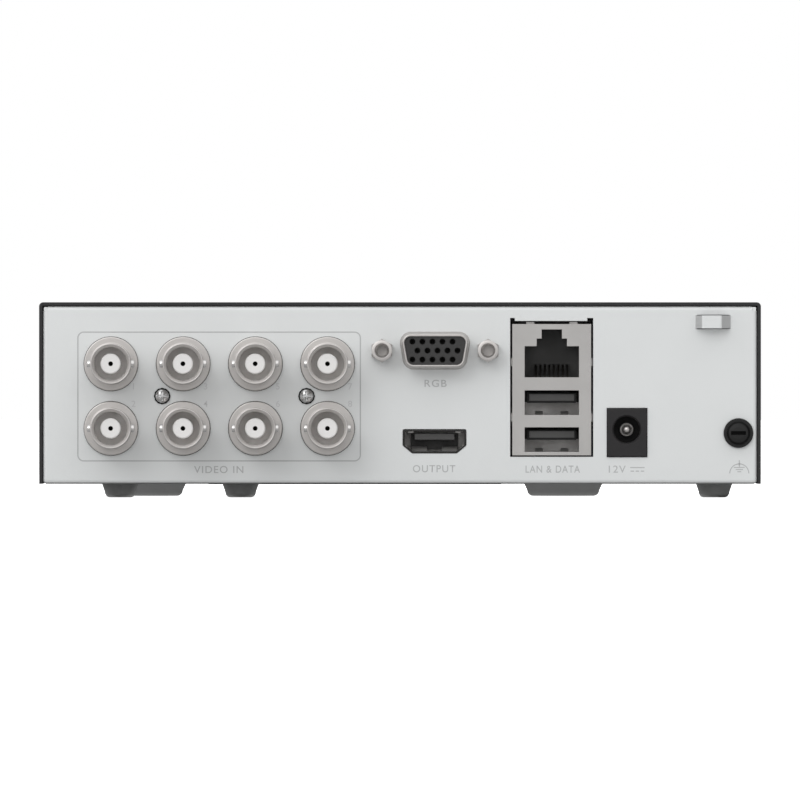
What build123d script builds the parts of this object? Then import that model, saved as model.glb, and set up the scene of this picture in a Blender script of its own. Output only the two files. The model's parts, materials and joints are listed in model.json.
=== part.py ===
from build123d import *
import math
import os

# Compact eight-channel video recorder. Millimetres, +Z up, the rear panel faces +Y.
# The origin is the middle of the bounding box, at the level of the surface it stands on.

# ---------------------------------------------------------------- case
CASE_WIDTH = 170.0
CASE_TOP = 46.0
CASE_BOTTOM = 3.2
REAR = 86.5
FRONT = -98.5
BEZEL_DEPTH = 11.0
SHEET = 0.8
BEND_RADIUS = 1.0
SIDE_GAP = 0.1
CHASSIS_HALF = CASE_WIDTH / 2 - SHEET - SIDE_GAP
WALL_TOP = CASE_TOP - SHEET - SIDE_GAP
WALL_INSIDE = REAR - SHEET
FLOOR = CASE_BOTTOM + SHEET
CHASSIS_FRONT = FRONT + BEZEL_DEPTH + 0.2
COVER_FRONT = FRONT + BEZEL_DEPTH + 0.1
FLANGE_DEPTH = 6.8
LIP_HEIGHT = 8.0
CORNER_NOTCH = 1.15

# ---------------------------------------------------------------- cover tabs and vents
TAB_LONG = 10.0
TAB_REACH = 7.0
TAB_LEVEL = 5.2
TAB_PLACES = (-70.0, 12.0)
COVER_SCREW_X = 79.2
COVER_SCREW_R = 1.25
VENT_COUNT = 16
VENT_PITCH = 5.0
VENT_LONG = 15.0
VENT_WIDE = 2.0
VENT_START = -22.0
VENT_LEVEL = 25.0

# ---------------------------------------------------------------- feet: x, y, top radius, foot radius
REAR_FEET = {"left": 66.0, "middle": 37.6, "right": -74.1}
REAR_FEET_Y = 72.0
REAR_FOOT_R = (4.3, 3.35)
FRONT_FEET = {"left": 60.8, "right": -39.2}
FRONT_FEET_Y = -68.0
FRONT_FOOT_R = (9.55, 8.1)

# ---------------------------------------------------------------- bayonet video sockets
VIDEO_IN_FIRST_X = 68.06
VIDEO_IN_PITCH_X = 17.0
VIDEO_IN_ROWS = (31.5, 16.3)
VIDEO_IN_COLUMNS = 4
SHOULDER_R = 6.35
SHOULDER_PROUD = 1.2
BARREL_R = 4.83
BORE_R = 3.95
TIP_ROUND = 0.45
TIP = REAR + 12.0
LUG_REACH = 5.53
LUG_R = 0.9
LUG_BACK = 4.6
BORE_DEPTH = 9.2
INSULATOR_R = 2.4
INSULATOR_RECESS = 1.2
INSULATOR_MOUTH_R = 0.56
INSULATOR_LIP = 0.7
CONTACT_R = 0.8
CONTACT_BORE_R = 0.5
CONTACT_DEPTH = 5.5
HOUSING_FACE = WALL_INSIDE - 0.1
HOUSING_BACK = 68.0
HOUSING_HALF = 16.4
HOUSING_TOP = 39.0
HOUSING_SCREW_SHIFT = -3.55
HOUSING_SCREW_Z = 23.9
HOUSING_SCREW_HEAD_R = 1.92
HOUSING_SCREW_R = 1.25

# ---------------------------------------------------------------- monitor socket (15 way)
MONITOR_X = -8.23
MONITOR_Z = 34.6
MONITOR_HALF = 8.05
MONITOR_HEIGHT = 7.7
MONITOR_SLANT = math.tan(math.radians(10))
MONITOR_CORNER = 2.0
MONITOR_WALL = 0.45
MONITOR_PROUD = 5.8
MONITOR_PIN_PITCH = 2.36
MONITOR_ROW_PITCH = 2.12
MONITOR_HOLE_R = 0.7
MONITOR_INSERT_SET = 0.45
JACKSCREW_SPREAD = 12.495
JACKSCREW_AF = 4.85
JACKSCREW_PROUD = 5.0
JACKSCREW_THREAD_R = 1.42
JACKSCREW_SHANK_R = 1.4

# ---------------------------------------------------------------- digital video output
OUTPUT_X = -8.13
OUTPUT_TOP = 16.0
OUTPUT_BOTTOM = 10.5
OUTPUT_HALF = 7.4
OUTPUT_WALL = 0.4
OUTPUT_DEPTH = 11.0

# ---------------------------------------------------------------- network and data port tower
TOWER_LEFT = -26.45
TOWER_RIGHT = -45.0
TOWER_BOTTOM = 9.95
TOWER_TOP = 40.85
TOWER_PROUD = 0.3
TOWER_DEPTH = 21.3
TOWER_WALL = 0.4
TOWER_GAP = 0.5
PORT_X = -35.75
PORT_HALF = 6.4
NETWORK_BOTTOM = 28.3
NETWORK_SHOULDER = 35.65
NETWORK_STEP = 37.45
NETWORK_TOP = 39.6
NETWORK_STEP_HALF = 3.57
NETWORK_LATCH_HALF = 2.4
NETWORK_DEPTH = 13.0
COMB_LEVEL = (28.75, 31.4)
DATA_PORTS = {"upper": 19.45, "lower": 10.75}
DATA_PORT_HEIGHT = 5.8
DATA_PORT_DEPTH = 14.0
DATA_CONTACTS = (-3.5, -1.0, 1.0, 3.5)

# ---------------------------------------------------------------- power inlet and ground screw
POWER_LEFT = -48.8
POWER_RIGHT = -58.15
POWER_BOTTOM = 9.6
POWER_TOP = 21.0
POWER_X = -53.4
POWER_Z = 16.0
POWER_HOLE_R = 3.1
POWER_PIN_R = 1.0
POWER_COLLAR_R = 1.65
GROUND_X = -79.7
GROUND_Z = 15.2
GROUND_WASHER_R = 3.5
GROUND_WASHER = 0.7
GROUND_HEAD_R = 2.75
GROUND_HEAD = 2.0
GROUND_SHANK_R = 1.45
GROUND_NUT_R = 2.9

# ---------------------------------------------------------------- cable-tie bridge
BRIDGE_X = (-69.5, -71.2, -75.6, -78.0)
BRIDGE_LOW = 39.85
BRIDGE_HIGH = 42.9
BRIDGE_PROUD = 3.2

# ---------------------------------------------------------------- mainboard
BOARD_TOP = 9.4
BOARD = 1.6
BOARD_HALF = 80.0
BOARD_FRONT = 25.0
BOARD_BACK = 84.6
POSTS = ((-74.0, 31.0), (74.0, 31.0), (-66.0, 62.0), (2.5, 62.0))
POST_R = 2.75
CHIP_X = -12.0
CHIP_Y = 46.0
CHIP_HALF = 11.0
CHIP_TOP = BOARD_TOP + 2.0
SINK_HALF = 14.0
SINK_TOP = 24.0
SINK_FINS = 8
CAPACITORS = (
    (-66.0, 46.0, 4.0, 11.0),
    (-66.0, 37.3, 4.0, 11.0),
    (-46.0, 45.0, 3.15, 7.5),
    (-46.0, 36.0, 3.15, 7.5),
)
CELL_X = 58.0
CELL_Y = 44.0
CELL_R = 10.0

# ---------------------------------------------------------------- 2.5 inch hard disk
DISK_X = 10.75
DISK_REAR = 20.2
DISK_LONG = 100.2
DISK_HALF = 34.92
DISK_BOTTOM = 5.4
DISK_HEIGHT = 9.5
DISK_HOLES_Y = (6.2, -70.4)
DISK_HOLES_X = 30.86
DISK_LID = 0.8
DISK_CAVITY_FLOOR = DISK_BOTTOM + 3.2
SPINDLE_Y = -42.0
PLATTER_R = 32.5
HUB_R = 10.0
SPINDLE_R = 4.0
PIVOT_X = DISK_X + 25.0
PIVOT_Y = -4.0
PIVOT_R = 3.0
EMBOSS_DROP = 0.28
EMBOSS_FRONT = -79.0
EMBOSS_BACK = 15.0

# ---------------------------------------------------------------- front panel parts
LENS_X = -60.0
LENS_Z = 24.0
LENS_HALF = (13.0, 2.0)
LIGHTS = (-8.0, 0.0, 8.0)
HOOKS = ((-70.0, 9.0), (70.0, 9.0), (-70.0, 38.0), (70.0, 38.0))


# ================================================================ shapes
def span(middle, half):
    """The limits of a length about its middle."""
    return (middle - half, middle + half)


def block(x_span, y_span, z_span):
    """A box given by its two faces along each axis."""
    spans = (x_span, y_span, z_span)
    size = [abs(high - low) for low, high in spans]
    middle = [(low + high) / 2 for low, high in spans]
    return Pos(*middle) * Box(*size)


def rod_y(radius, x, z, back, front):
    """A round bar along Y."""
    return Pos(x, (back + front) / 2, z) * Rot(90, 0, 0) * Cylinder(radius, abs(front - back))


def rod_z(radius, x, y, low, high):
    """A round bar along Z."""
    return Pos(x, y, (low + high) / 2) * Cylinder(radius, high - low)


def cone_z(radius_low, radius_high, x, y, low, high):
    """A tapered round bar along Z."""
    return Pos(x, y, (low + high) / 2) * Cone(radius_low, radius_high, high - low)


def panel_prism(sketch, x, z, back, front):
    """A flat outline, drawn with x along +X and y along +Z, made solid from back to front in Y."""
    plane = Plane(origin=(x, front, z), x_dir=(1, 0, 0), z_dir=(0, -1, 0))
    return extrude(plane * sketch, amount=front - back)


def turned_y(profile, x, z):
    """A turned piece about a line along Y: the profile is a list of (radius, y)."""
    face = make_face(Polyline(*profile, close=True).edges())
    return Pos(x, 0, z) * revolve(face, Axis.Y)


def rounded_polygon(points, radius):
    """A closed outline with every corner rounded."""
    return make_face(FilletPolyline(*points, radius=radius, close=True).edges())


def outline(points):
    """A closed outline with sharp corners."""
    return make_face(Polyline(*points, close=True).edges())


def hexagon(across_flats):
    """A hexagon with one corner up."""
    return Rot(0, 0, 30) * RegularPolygon(across_flats / math.sqrt(3), 6)


# ================================================================ outlines of the rear openings
def monitor_outline(grow):
    """The D shape of the monitor socket, wider at the top, grown by a margin."""
    top = MONITOR_HEIGHT / 2 + grow
    high = MONITOR_HALF + grow
    low = high - 2 * top * MONITOR_SLANT
    corners = [(-low, -top), (low, -top), (high, top), (-high, top)]
    return rounded_polygon(corners, MONITOR_CORNER + grow)


def output_outline(grow):
    """The video output's outline: full width at the top, its lower corners cut in."""
    middle = (OUTPUT_TOP + OUTPUT_BOTTOM) / 2
    top = OUTPUT_TOP - middle + grow
    knee = -1.0
    side = OUTPUT_HALF + grow
    foot = OUTPUT_HALF - 2.2 + grow * 0.6
    corners = [(-foot, -top), (foot, -top), (side, knee), (side, top), (-side, top), (-side, knee)]
    return rounded_polygon(corners, 0.45)


def network_outline():
    """The plug opening of the network socket, about the port's centre line, in real heights."""
    corners = [
        (-PORT_HALF, NETWORK_BOTTOM),
        (PORT_HALF, NETWORK_BOTTOM),
        (PORT_HALF, NETWORK_SHOULDER),
        (NETWORK_STEP_HALF, NETWORK_SHOULDER),
        (NETWORK_STEP_HALF, NETWORK_STEP),
        (NETWORK_LATCH_HALF, NETWORK_STEP),
        (NETWORK_LATCH_HALF, NETWORK_TOP),
        (-NETWORK_LATCH_HALF, NETWORK_TOP),
        (-NETWORK_LATCH_HALF, NETWORK_STEP),
        (-NETWORK_STEP_HALF, NETWORK_STEP),
        (-NETWORK_STEP_HALF, NETWORK_SHOULDER),
        (-PORT_HALF, NETWORK_SHOULDER),
    ]
    return outline(corners)


def video_in_places():
    """Centres of the eight video sockets: odd channels above, even channels below."""
    places = []
    for column in range(VIDEO_IN_COLUMNS):
        for level in VIDEO_IN_ROWS:
            places.append((VIDEO_IN_FIRST_X - column * VIDEO_IN_PITCH_X, level))
    return places


def housing_centres():
    """Middles of the two blocks of four video sockets."""
    first = VIDEO_IN_FIRST_X - VIDEO_IN_PITCH_X / 2
    return (first, first - 2 * VIDEO_IN_PITCH_X)


# ================================================================ chassis
def is_outer_bend(edge):
    """True for the long outer edges where the chassis sheet is folded."""
    middle = edge.center()
    at_rear = abs(middle.Y - REAR) < 0.01
    at_side = abs(abs(middle.X) - CHASSIS_HALF) < 0.01
    at_bottom = abs(middle.Z - CASE_BOTTOM) < 0.01
    at_top = abs(middle.Z - WALL_TOP) < 0.01
    return (at_rear and (at_side or at_bottom or at_top)) or (at_side and at_bottom)


def folded_tray():
    """Base, rear wall with its flanges, side lips and front wall, as one folded sheet."""
    across = (-CHASSIS_HALF, CHASSIS_HALF)
    tray = block(across, (CHASSIS_FRONT, REAR), (CASE_BOTTOM, FLOOR))
    tray += block(across, (WALL_INSIDE, REAR), (CASE_BOTTOM, WALL_TOP))
    tray += block(across, (REAR - FLANGE_DEPTH, REAR), (WALL_TOP - SHEET, WALL_TOP))
    for side in (-1, 1):
        skin = (side * CHASSIS_HALF, side * (CHASSIS_HALF - SHEET))
        tray += block(skin, (REAR - FLANGE_DEPTH, REAR), (CASE_BOTTOM, WALL_TOP))
        tray += block(skin, (CHASSIS_FRONT, REAR), (CASE_BOTTOM, CASE_BOTTOM + LIP_HEIGHT))
    for side in (-1, 1):
        corner = (side * (CHASSIS_HALF - CORNER_NOTCH), side * (CHASSIS_HALF + 1))
        tray -= block(corner, (REAR - FLANGE_DEPTH - 1, REAR + 1), (WALL_TOP - CORNER_NOTCH, WALL_TOP + 1))
    tray = fillet([edge for edge in tray.edges() if is_outer_bend(edge)], BEND_RADIUS)
    front_half = CHASSIS_HALF - SHEET - 0.3
    tray += block((-front_half, front_half), (CHASSIS_FRONT, CHASSIS_FRONT + SHEET), (CASE_BOTTOM, WALL_TOP))
    return tray


def screw_dimple(x, y, rise, radius):
    """A raised cone in the base and the hollow under it, where a screw head lies flush."""
    top = FLOOR + rise
    bump = cone_z(radius + 0.8, radius, x, y, CASE_BOTTOM + 0.3, top)
    hollow = cone_z(radius, radius - 0.6, x, y, CASE_BOTTOM - 0.6, top - SHEET)
    return bump, hollow


def cover_screw_places():
    """The four screws that hold the cover, two along each side."""
    return [(side * COVER_SCREW_X, y) for side in (-1, 1) for y in TAB_PLACES]


def disk_screw_places():
    """The four screws that hold the hard disk."""
    return [(DISK_X + side * DISK_HOLES_X, y) for side in (-1, 1) for y in DISK_HOLES_Y]


def rear_openings():
    """Everything cut through the rear wall."""
    through = (WALL_INSIDE - 1, REAR + 1)
    cuts = []
    for x, z in video_in_places():
        cuts.append(rod_y(SHOULDER_R + 0.1, x, z, *through))
    for x in housing_centres():
        cuts.append(rod_y(HOUSING_SCREW_R + 0.05, x + HOUSING_SCREW_SHIFT, HOUSING_SCREW_Z, *through))
    cuts.append(panel_prism(monitor_outline(0.45), MONITOR_X, MONITOR_Z, *through))
    for side in (-1, 1):
        cuts.append(rod_y(JACKSCREW_SHANK_R + 0.1, MONITOR_X + side * JACKSCREW_SPREAD, MONITOR_Z, *through))
    output_middle = (OUTPUT_TOP + OUTPUT_BOTTOM) / 2
    cuts.append(panel_prism(output_outline(0.12), OUTPUT_X, output_middle, *through))
    tower_x = (TOWER_RIGHT - TOWER_GAP, TOWER_LEFT + TOWER_GAP)
    cuts.append(block(tower_x, through, (TOWER_BOTTOM - 0.35, TOWER_TOP + 0.75)))
    for side in (-1, 1):
        edge = (tower_x[0], tower_x[0] + 1.4) if side < 0 else (tower_x[1] - 1.1, tower_x[1])
        cuts.append(block(edge, through, (TOWER_TOP, TOWER_TOP + 1.45)))
    level = (POWER_BOTTOM - 0.12, POWER_TOP + 0.12)
    cuts.append(block((POWER_RIGHT - 0.12, POWER_LEFT + 0.12), through, level))
    cuts.append(rod_y(GROUND_SHANK_R + 0.05, GROUND_X, GROUND_Z, WALL_INSIDE - 5, REAR + 1))
    cuts.append(block((-77.6, -69.9), through, (BRIDGE_LOW - 0.15, BRIDGE_HIGH + 0.15)))
    return cuts


def tie_bridge():
    """The strap pressed out of the rear wall, open above and below for a cable tie."""
    far = REAR + BRIDGE_PROUD
    left, flat_left, flat_right, right = BRIDGE_X
    outer = [(left, WALL_INSIDE), (left, REAR), (flat_left, far)]
    outer += [(flat_right, far), (right, REAR), (right, WALL_INSIDE)]
    under = far - SHEET
    inner = [(right + 0.9, WALL_INSIDE), (flat_right + 0.3, under)]
    inner += [(flat_left - 0.4, under), (left - SHEET, WALL_INSIDE)]
    strap = extrude(Plane.XY.offset(BRIDGE_LOW) * outline(outer + inner), amount=BRIDGE_HIGH - BRIDGE_LOW)
    bends = [edge for edge in strap.edges().filter_by(Axis.Z) if abs(edge.center().Y - far) < 0.01]
    return fillet(bends, 0.5)


def make_chassis():
    """The whole folded tray with its raised and pierced features."""
    tray = folded_tray()
    emboss = span(DISK_X, 34.75)
    tray += block(emboss, (EMBOSS_FRONT, EMBOSS_BACK), (CASE_BOTTOM - EMBOSS_DROP, CASE_BOTTOM + 0.2))
    inner = (emboss[0] + SHEET, emboss[1] - SHEET)
    tray -= block(inner, (EMBOSS_FRONT + SHEET, EMBOSS_BACK - SHEET), (FLOOR - EMBOSS_DROP, FLOOR + 0.2))
    for places, rise, radius, hole in (
        (cover_screw_places(), TAB_LEVEL - FLOOR - 0.1, 3.1, COVER_SCREW_R + 0.05),
        (disk_screw_places(), DISK_BOTTOM - FLOOR, 4.2, 1.55),
    ):
        for x, y in places:
            bump, hollow = screw_dimple(x, y, rise, radius)
            tray += bump
            tray -= hollow
            tray -= rod_z(hole, x, y, CASE_BOTTOM - 1, FLOOR + rise + 1)
    for x, y in POSTS:
        tray += rod_z(POST_R, x, y, FLOOR - 0.2, BOARD_TOP - BOARD)
        tray -= rod_z(1.25, x, y, FLOOR, BOARD_TOP)
    for y in TAB_PLACES:
        gap = (y - TAB_LONG / 2 - 1.0, y + TAB_LONG / 2 + 1.0)
        for side in (-1, 1):
            skin = (side * (CHASSIS_HALF - SHEET - 0.2), side * (CHASSIS_HALF + 0.2))
            tray -= block(skin, gap, (FLOOR + 0.6, CASE_BOTTOM + LIP_HEIGHT + 1))
    tray += rod_y(GROUND_NUT_R, GROUND_X, GROUND_Z, WALL_INSIDE - 3.0, WALL_INSIDE + 0.2)
    for cut in rear_openings():
        tray -= cut
    tray += tie_bridge()
    front_wall = (CHASSIS_FRONT - 1, CHASSIS_FRONT + SHEET + 1)
    for x, z in HOOKS:
        tray -= block(span(x, 3.3), front_wall, (z - 1.5, z + 1.0))
    tray -= block(span(LENS_X, 6), front_wall, (7.5, 14.0))
    for row in range(3):
        for column in range(9):
            slot = Pos(-62.0 + column * 4.0, -44.0 + row * 22.0, 0) * SlotOverall(16, 2, rotation=90)
            tray -= extrude(Plane.XY.offset(CASE_BOTTOM - 1) * slot, amount=3)
    return tray


# ================================================================ cover
def cover_vents():
    """Upright slots through both sides of the cover."""
    plane = Plane(origin=(-CASE_WIDTH, 0, 0), x_dir=(0, 1, 0), z_dir=(1, 0, 0))
    slots = []
    for number in range(VENT_COUNT):
        slot = SlotOverall(VENT_LONG, VENT_WIDE, rotation=90)
        shape = Pos(VENT_START + number * VENT_PITCH, VENT_LEVEL) * slot
        slots.append(extrude(plane * shape, amount=2 * CASE_WIDTH))
    return slots


def make_cover():
    """The folded cover: top, two sides with vents, and four tabs that turn in under the lips."""
    half = CASE_WIDTH / 2
    along = (COVER_FRONT, REAR)
    cover = block((-half, half), along, (CASE_BOTTOM, CASE_TOP))
    top_edges = [edge for edge in cover.edges().filter_by(Axis.Y) if edge.center().Z > CASE_TOP - 0.01]
    cover = fillet(top_edges, BEND_RADIUS)
    inside = half - SHEET
    cover -= block((-inside, inside), (COVER_FRONT - 1, REAR + 1), (CASE_BOTTOM - 1, CASE_TOP - SHEET))
    for slot in cover_vents():
        cover -= slot
    for side in (-1, 1):
        for y in TAB_PLACES:
            reach = (side * (half - 0.2), side * (half - TAB_REACH - SHEET))
            place = (y - TAB_LONG / 2, y + TAB_LONG / 2)
            cover += block(reach, place, (TAB_LEVEL, TAB_LEVEL + SHEET))
            cover += rod_z(2.1, side * COVER_SCREW_X, y, TAB_LEVEL, TAB_LEVEL + 2.0)
            cover -= rod_z(COVER_SCREW_R + 0.05, side * COVER_SCREW_X, y, TAB_LEVEL - 1, TAB_LEVEL + 3)
    return cover


def make_cover_screws():
    """Four pan-head screws, heads flush in the base."""
    screws = []
    underside = TAB_LEVEL - 0.1 - SHEET
    for x, y in cover_screw_places():
        head = rod_z(2.2, x, y, underside - 0.95, underside)
        head -= block(span(x, 1.6), span(y, 0.3), (underside - 1.2, underside - 0.55))
        head -= block(span(x, 0.3), span(y, 1.6), (underside - 1.2, underside - 0.55))
        screws.append(head + rod_z(COVER_SCREW_R, x, y, underside, underside + 4.2))
    return screws


# ================================================================ front bezel and indicator parts
def make_bezel():
    """A moulded front, hollow behind, with four snap hooks and a window for the indicators."""
    half = CASE_WIDTH / 2
    back = FRONT + BEZEL_DEPTH
    bezel = block((-half, half), (FRONT, back), (CASE_BOTTOM, CASE_TOP))
    front_edges = [edge for edge in bezel.edges() if abs(edge.center().Y - FRONT) < 0.01]
    bezel = fillet(front_edges, 2.0)
    wall = 2.2
    room = (CASE_BOTTOM + wall, CASE_TOP - wall)
    bezel -= block((wall - half, half - wall), (FRONT + wall, back + 1), room)
    bezel -= block((-half - 1, half + 1), (FRONT - 1, FRONT + 0.6), (34.6, 35.4))
    window = SlotOverall(2 * LENS_HALF[0], 2 * LENS_HALF[1])
    bezel -= panel_prism(window, LENS_X, LENS_Z, FRONT - 1, FRONT + wall + 1)
    for x, z in HOOKS:
        bezel += block(span(x, 3), (FRONT + 1, back + 3.0), span(z, 0.7))
        bezel += block(span(x, 3), (CHASSIS_FRONT + SHEET + 0.1, back + 3.0), (z - 1.3, z))
    for x in span(LENS_X, 17):
        bezel += rod_y(2.2, x, LENS_Z, FRONT + 1, FRONT + 6.5)
    return bezel


def make_lens():
    """A smoked strip that fills the window."""
    face = SlotOverall(2 * LENS_HALF[0] - 0.2, 2 * LENS_HALF[1] - 0.2)
    rim = SlotOverall(2 * LENS_HALF[0] + 2, 2 * LENS_HALF[1] + 2)
    lens = panel_prism(face, LENS_X, LENS_Z, FRONT + 0.1, FRONT + 2.25)
    return lens + panel_prism(rim, LENS_X, LENS_Z, FRONT + 2.25, FRONT + 3.2)


def make_indicator_board():
    """A small board behind the window with three lights and a cable header."""
    top = LENS_Z + 6
    board = block(span(LENS_X, 20), (FRONT + 6.5, FRONT + 7.7), (LENS_Z - 12, top))
    for shift in LIGHTS:
        board += rod_y(1.5, LENS_X + shift, LENS_Z, FRONT + 3.6, FRONT + 6.6)
    board += block(span(LENS_X, 5), (FRONT + 7.6, FRONT + 9.8), (12.4, 15.6))
    return board


def make_indicator_cable():
    """A flat cable from the mainboard's front header, along the base, to the indicator board."""
    route = [(23.6, 12.2), (10.0, 12.2), (-2.0, 5.0), (-70.0, 5.0), (-80.0, 10.8), (FRONT + 9.8, 10.8)]
    line = FilletPolyline(*route, radius=6)
    ribbon = Plane.YZ.offset(LENS_X - 4) * trace(line, 0.7)
    cable = extrude(ribbon, amount=8)
    end = block(span(LENS_X, 4.6), (FRONT + 9.8, FRONT + 11.0), (9.9, 15.4))
    plug = block(span(LENS_X, 4.6), (23.5, 28.9), (10.5, 14.0))
    return cable + end + plug


# ================================================================ feet
def make_foot(x, y, radii, recess):
    """A rubber foot: a short cone with a rounded lower edge and a shallow hollow below."""
    top_radius, low_radius = radii
    foot = cone_z(low_radius, top_radius, x, y, 0, CASE_BOTTOM)
    rim = [edge for edge in foot.edges() if edge.center().Z < 0.01]
    foot = fillet(rim, 0.5)
    return foot - rod_z(recess, x, y, -1, 0.5)


# ================================================================ video sockets
def make_video_in_shell(x, z):
    """A turned bayonet shell: shoulder, barrel with a bore, and two lugs."""
    step = REAR + SHOULDER_PROUD
    floor = TIP - BORE_DEPTH
    profile = [
        (BORE_R + 0.1, TIP),
        (BARREL_R - TIP_ROUND, TIP),
        (BARREL_R - TIP_ROUND * 0.3, TIP - TIP_ROUND * 0.3),
        (BARREL_R, TIP - TIP_ROUND),
        (BARREL_R, step),
        (SHOULDER_R - 0.2, step),
        (SHOULDER_R, step - 0.2),
        (SHOULDER_R, HOUSING_FACE),
        (INSULATOR_R, HOUSING_FACE),
        (INSULATOR_R, floor),
        (BORE_R, floor),
        (BORE_R, TIP - 0.1),
    ]
    shell = turned_y(profile, x, z)
    for side in (-1, 1):
        middle = x + side * (LUG_REACH + BARREL_R - 0.3) / 2
        lug = Pos(middle, TIP - LUG_BACK, z) * Rot(0, 90, 0) * Cylinder(LUG_R, LUG_REACH - BARREL_R + 0.3)
        shell += lug
    return shell


def make_insulators():
    """Eight white insulators, each with a hole for its contact."""
    tip = TIP - INSULATOR_RECESS
    profile = [
        (INSULATOR_MOUTH_R, tip),
        (INSULATOR_R - 0.25, tip),
        (INSULATOR_R, tip - 0.25),
        (INSULATOR_R, HOUSING_FACE),
        (CONTACT_R, HOUSING_FACE),
        (CONTACT_R, tip - INSULATOR_LIP),
        (INSULATOR_MOUTH_R, tip - INSULATOR_LIP),
    ]
    return [turned_y(profile, x, z) for x, z in video_in_places()]


def make_video_in_contacts():
    """Eight centre contacts: tubes behind the lips of the insulators."""
    tip = TIP - INSULATOR_RECESS - INSULATOR_LIP - 0.05
    profile = [
        (CONTACT_BORE_R, tip),
        (CONTACT_R, tip),
        (CONTACT_R, HOUSING_FACE),
        (0, HOUSING_FACE),
        (0, tip - CONTACT_DEPTH),
        (CONTACT_BORE_R, tip - CONTACT_DEPTH),
    ]
    return [turned_y(profile, x, z) for x, z in video_in_places()]


def make_video_in_housing(x):
    """A moulded block behind the wall that carries four sockets, cored out from behind."""
    wide = span(x, HOUSING_HALF)
    housing = block(wide, (HOUSING_BACK, HOUSING_FACE), (BOARD_TOP, HOUSING_TOP))
    for side in (-1, 1):
        for level in VIDEO_IN_ROWS:
            middle = x + side * VIDEO_IN_PITCH_X / 2
            pocket = span(middle, 6.2)
            housing -= block(pocket, (HOUSING_BACK - 1, HOUSING_FACE - 6), span(level, 5.6))
    hole_x = x + HOUSING_SCREW_SHIFT
    return housing - rod_y(HOUSING_SCREW_R, hole_x, HOUSING_SCREW_Z, HOUSING_FACE - 6, HOUSING_FACE + 1)


def make_housing_screws():
    """Two small cross-head screws that pull the blocks against the wall."""
    screws = []
    for middle in housing_centres():
        x = middle + HOUSING_SCREW_SHIFT
        profile = [
            (0, REAR + 1.35),
            (1.0, REAR + 1.25),
            (1.6, REAR + 0.95),
            (HOUSING_SCREW_HEAD_R, REAR + 0.45),
            (HOUSING_SCREW_HEAD_R, REAR),
            (HOUSING_SCREW_R, REAR),
            (HOUSING_SCREW_R, HOUSING_FACE - 6),
            (0, HOUSING_FACE - 6),
        ]
        screw = turned_y(profile, x, HOUSING_SCREW_Z)
        for long, tall in ((1.15, 0.2), (0.2, 1.15)):
            level = span(HOUSING_SCREW_Z, tall)
            screw -= block(span(x, long), (REAR + 0.5, REAR + 2), level)
        screws.append(screw)
    return screws


# ================================================================ monitor socket
def make_monitor_housing():
    """A moulded bridge that holds the monitor socket above the video output."""
    half = 15.4
    face = WALL_INSIDE - 1.1
    wide = span(MONITOR_X, half)
    housing = block(wide, (70.0, face), (20.0, 40.4))
    for side in (-1, 1):
        leg = (MONITOR_X + side * half, MONITOR_X + side * (half - 5.5))
        housing += block(leg, (72.0, face), (BOARD_TOP, 20.5))
        screw_x = MONITOR_X + side * JACKSCREW_SPREAD
        housing -= rod_y(JACKSCREW_SHANK_R, screw_x, MONITOR_Z, face - 6, face + 1)
    return housing


def make_monitor_shell():
    """A drawn D-shaped shell with a flange behind the wall."""
    front = REAR + MONITOR_PROUD
    shell = panel_prism(monitor_outline(0), MONITOR_X, MONITOR_Z, WALL_INSIDE - 0.6, front)
    rim = [edge for edge in shell.edges() if abs(edge.center().Y - front) < 0.01]
    shell = fillet(rim, 0.2)
    foot = panel_prism(monitor_outline(0.4), MONITOR_X, MONITOR_Z, WALL_INSIDE - 0.6, REAR + 0.25)
    shell += foot
    shell += block(span(MONITOR_X, 15.2), (WALL_INSIDE - 1.1, WALL_INSIDE - 0.3), (28.4, 40.8))
    for side in (-1, 1):
        shell -= rod_y(JACKSCREW_SHANK_R + 0.1, MONITOR_X + side * JACKSCREW_SPREAD, MONITOR_Z, 80, REAR)
    inside = panel_prism(monitor_outline(-MONITOR_WALL), MONITOR_X, MONITOR_Z, WALL_INSIDE - 2, front + 1)
    return shell - inside


def monitor_pins():
    """Centres of the fifteen contacts: the middle row sits half a pitch towards -X."""
    pins = []
    for row in (-1, 0, 1):
        shift = -MONITOR_PIN_PITCH / 4 if row == 0 else MONITOR_PIN_PITCH / 4
        for column in range(-2, 3):
            x = MONITOR_X + shift + column * MONITOR_PIN_PITCH
            pins.append((x, MONITOR_Z + row * MONITOR_ROW_PITCH))
    return pins


def make_monitor_insert():
    """The black insert with fifteen holes."""
    front = REAR + MONITOR_PROUD - MONITOR_INSERT_SET
    insert = panel_prism(monitor_outline(-MONITOR_WALL), MONITOR_X, MONITOR_Z, WALL_INSIDE - 1.1, front)
    for x, z in monitor_pins():
        insert -= rod_y(MONITOR_HOLE_R, x, z, front - 6.0, front + 1)
    return insert


def make_monitor_contacts():
    """Fifteen contact sleeves at the bottom of the holes."""
    front = REAR + MONITOR_PROUD - MONITOR_INSERT_SET
    sleeves = []
    for x, z in monitor_pins():
        sleeve = rod_y(MONITOR_HOLE_R - 0.02, x, z, front - 6.0, front - 3.2)
        sleeves.append(sleeve - rod_y(0.42, x, z, front - 5.5, front))
    return sleeves


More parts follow.
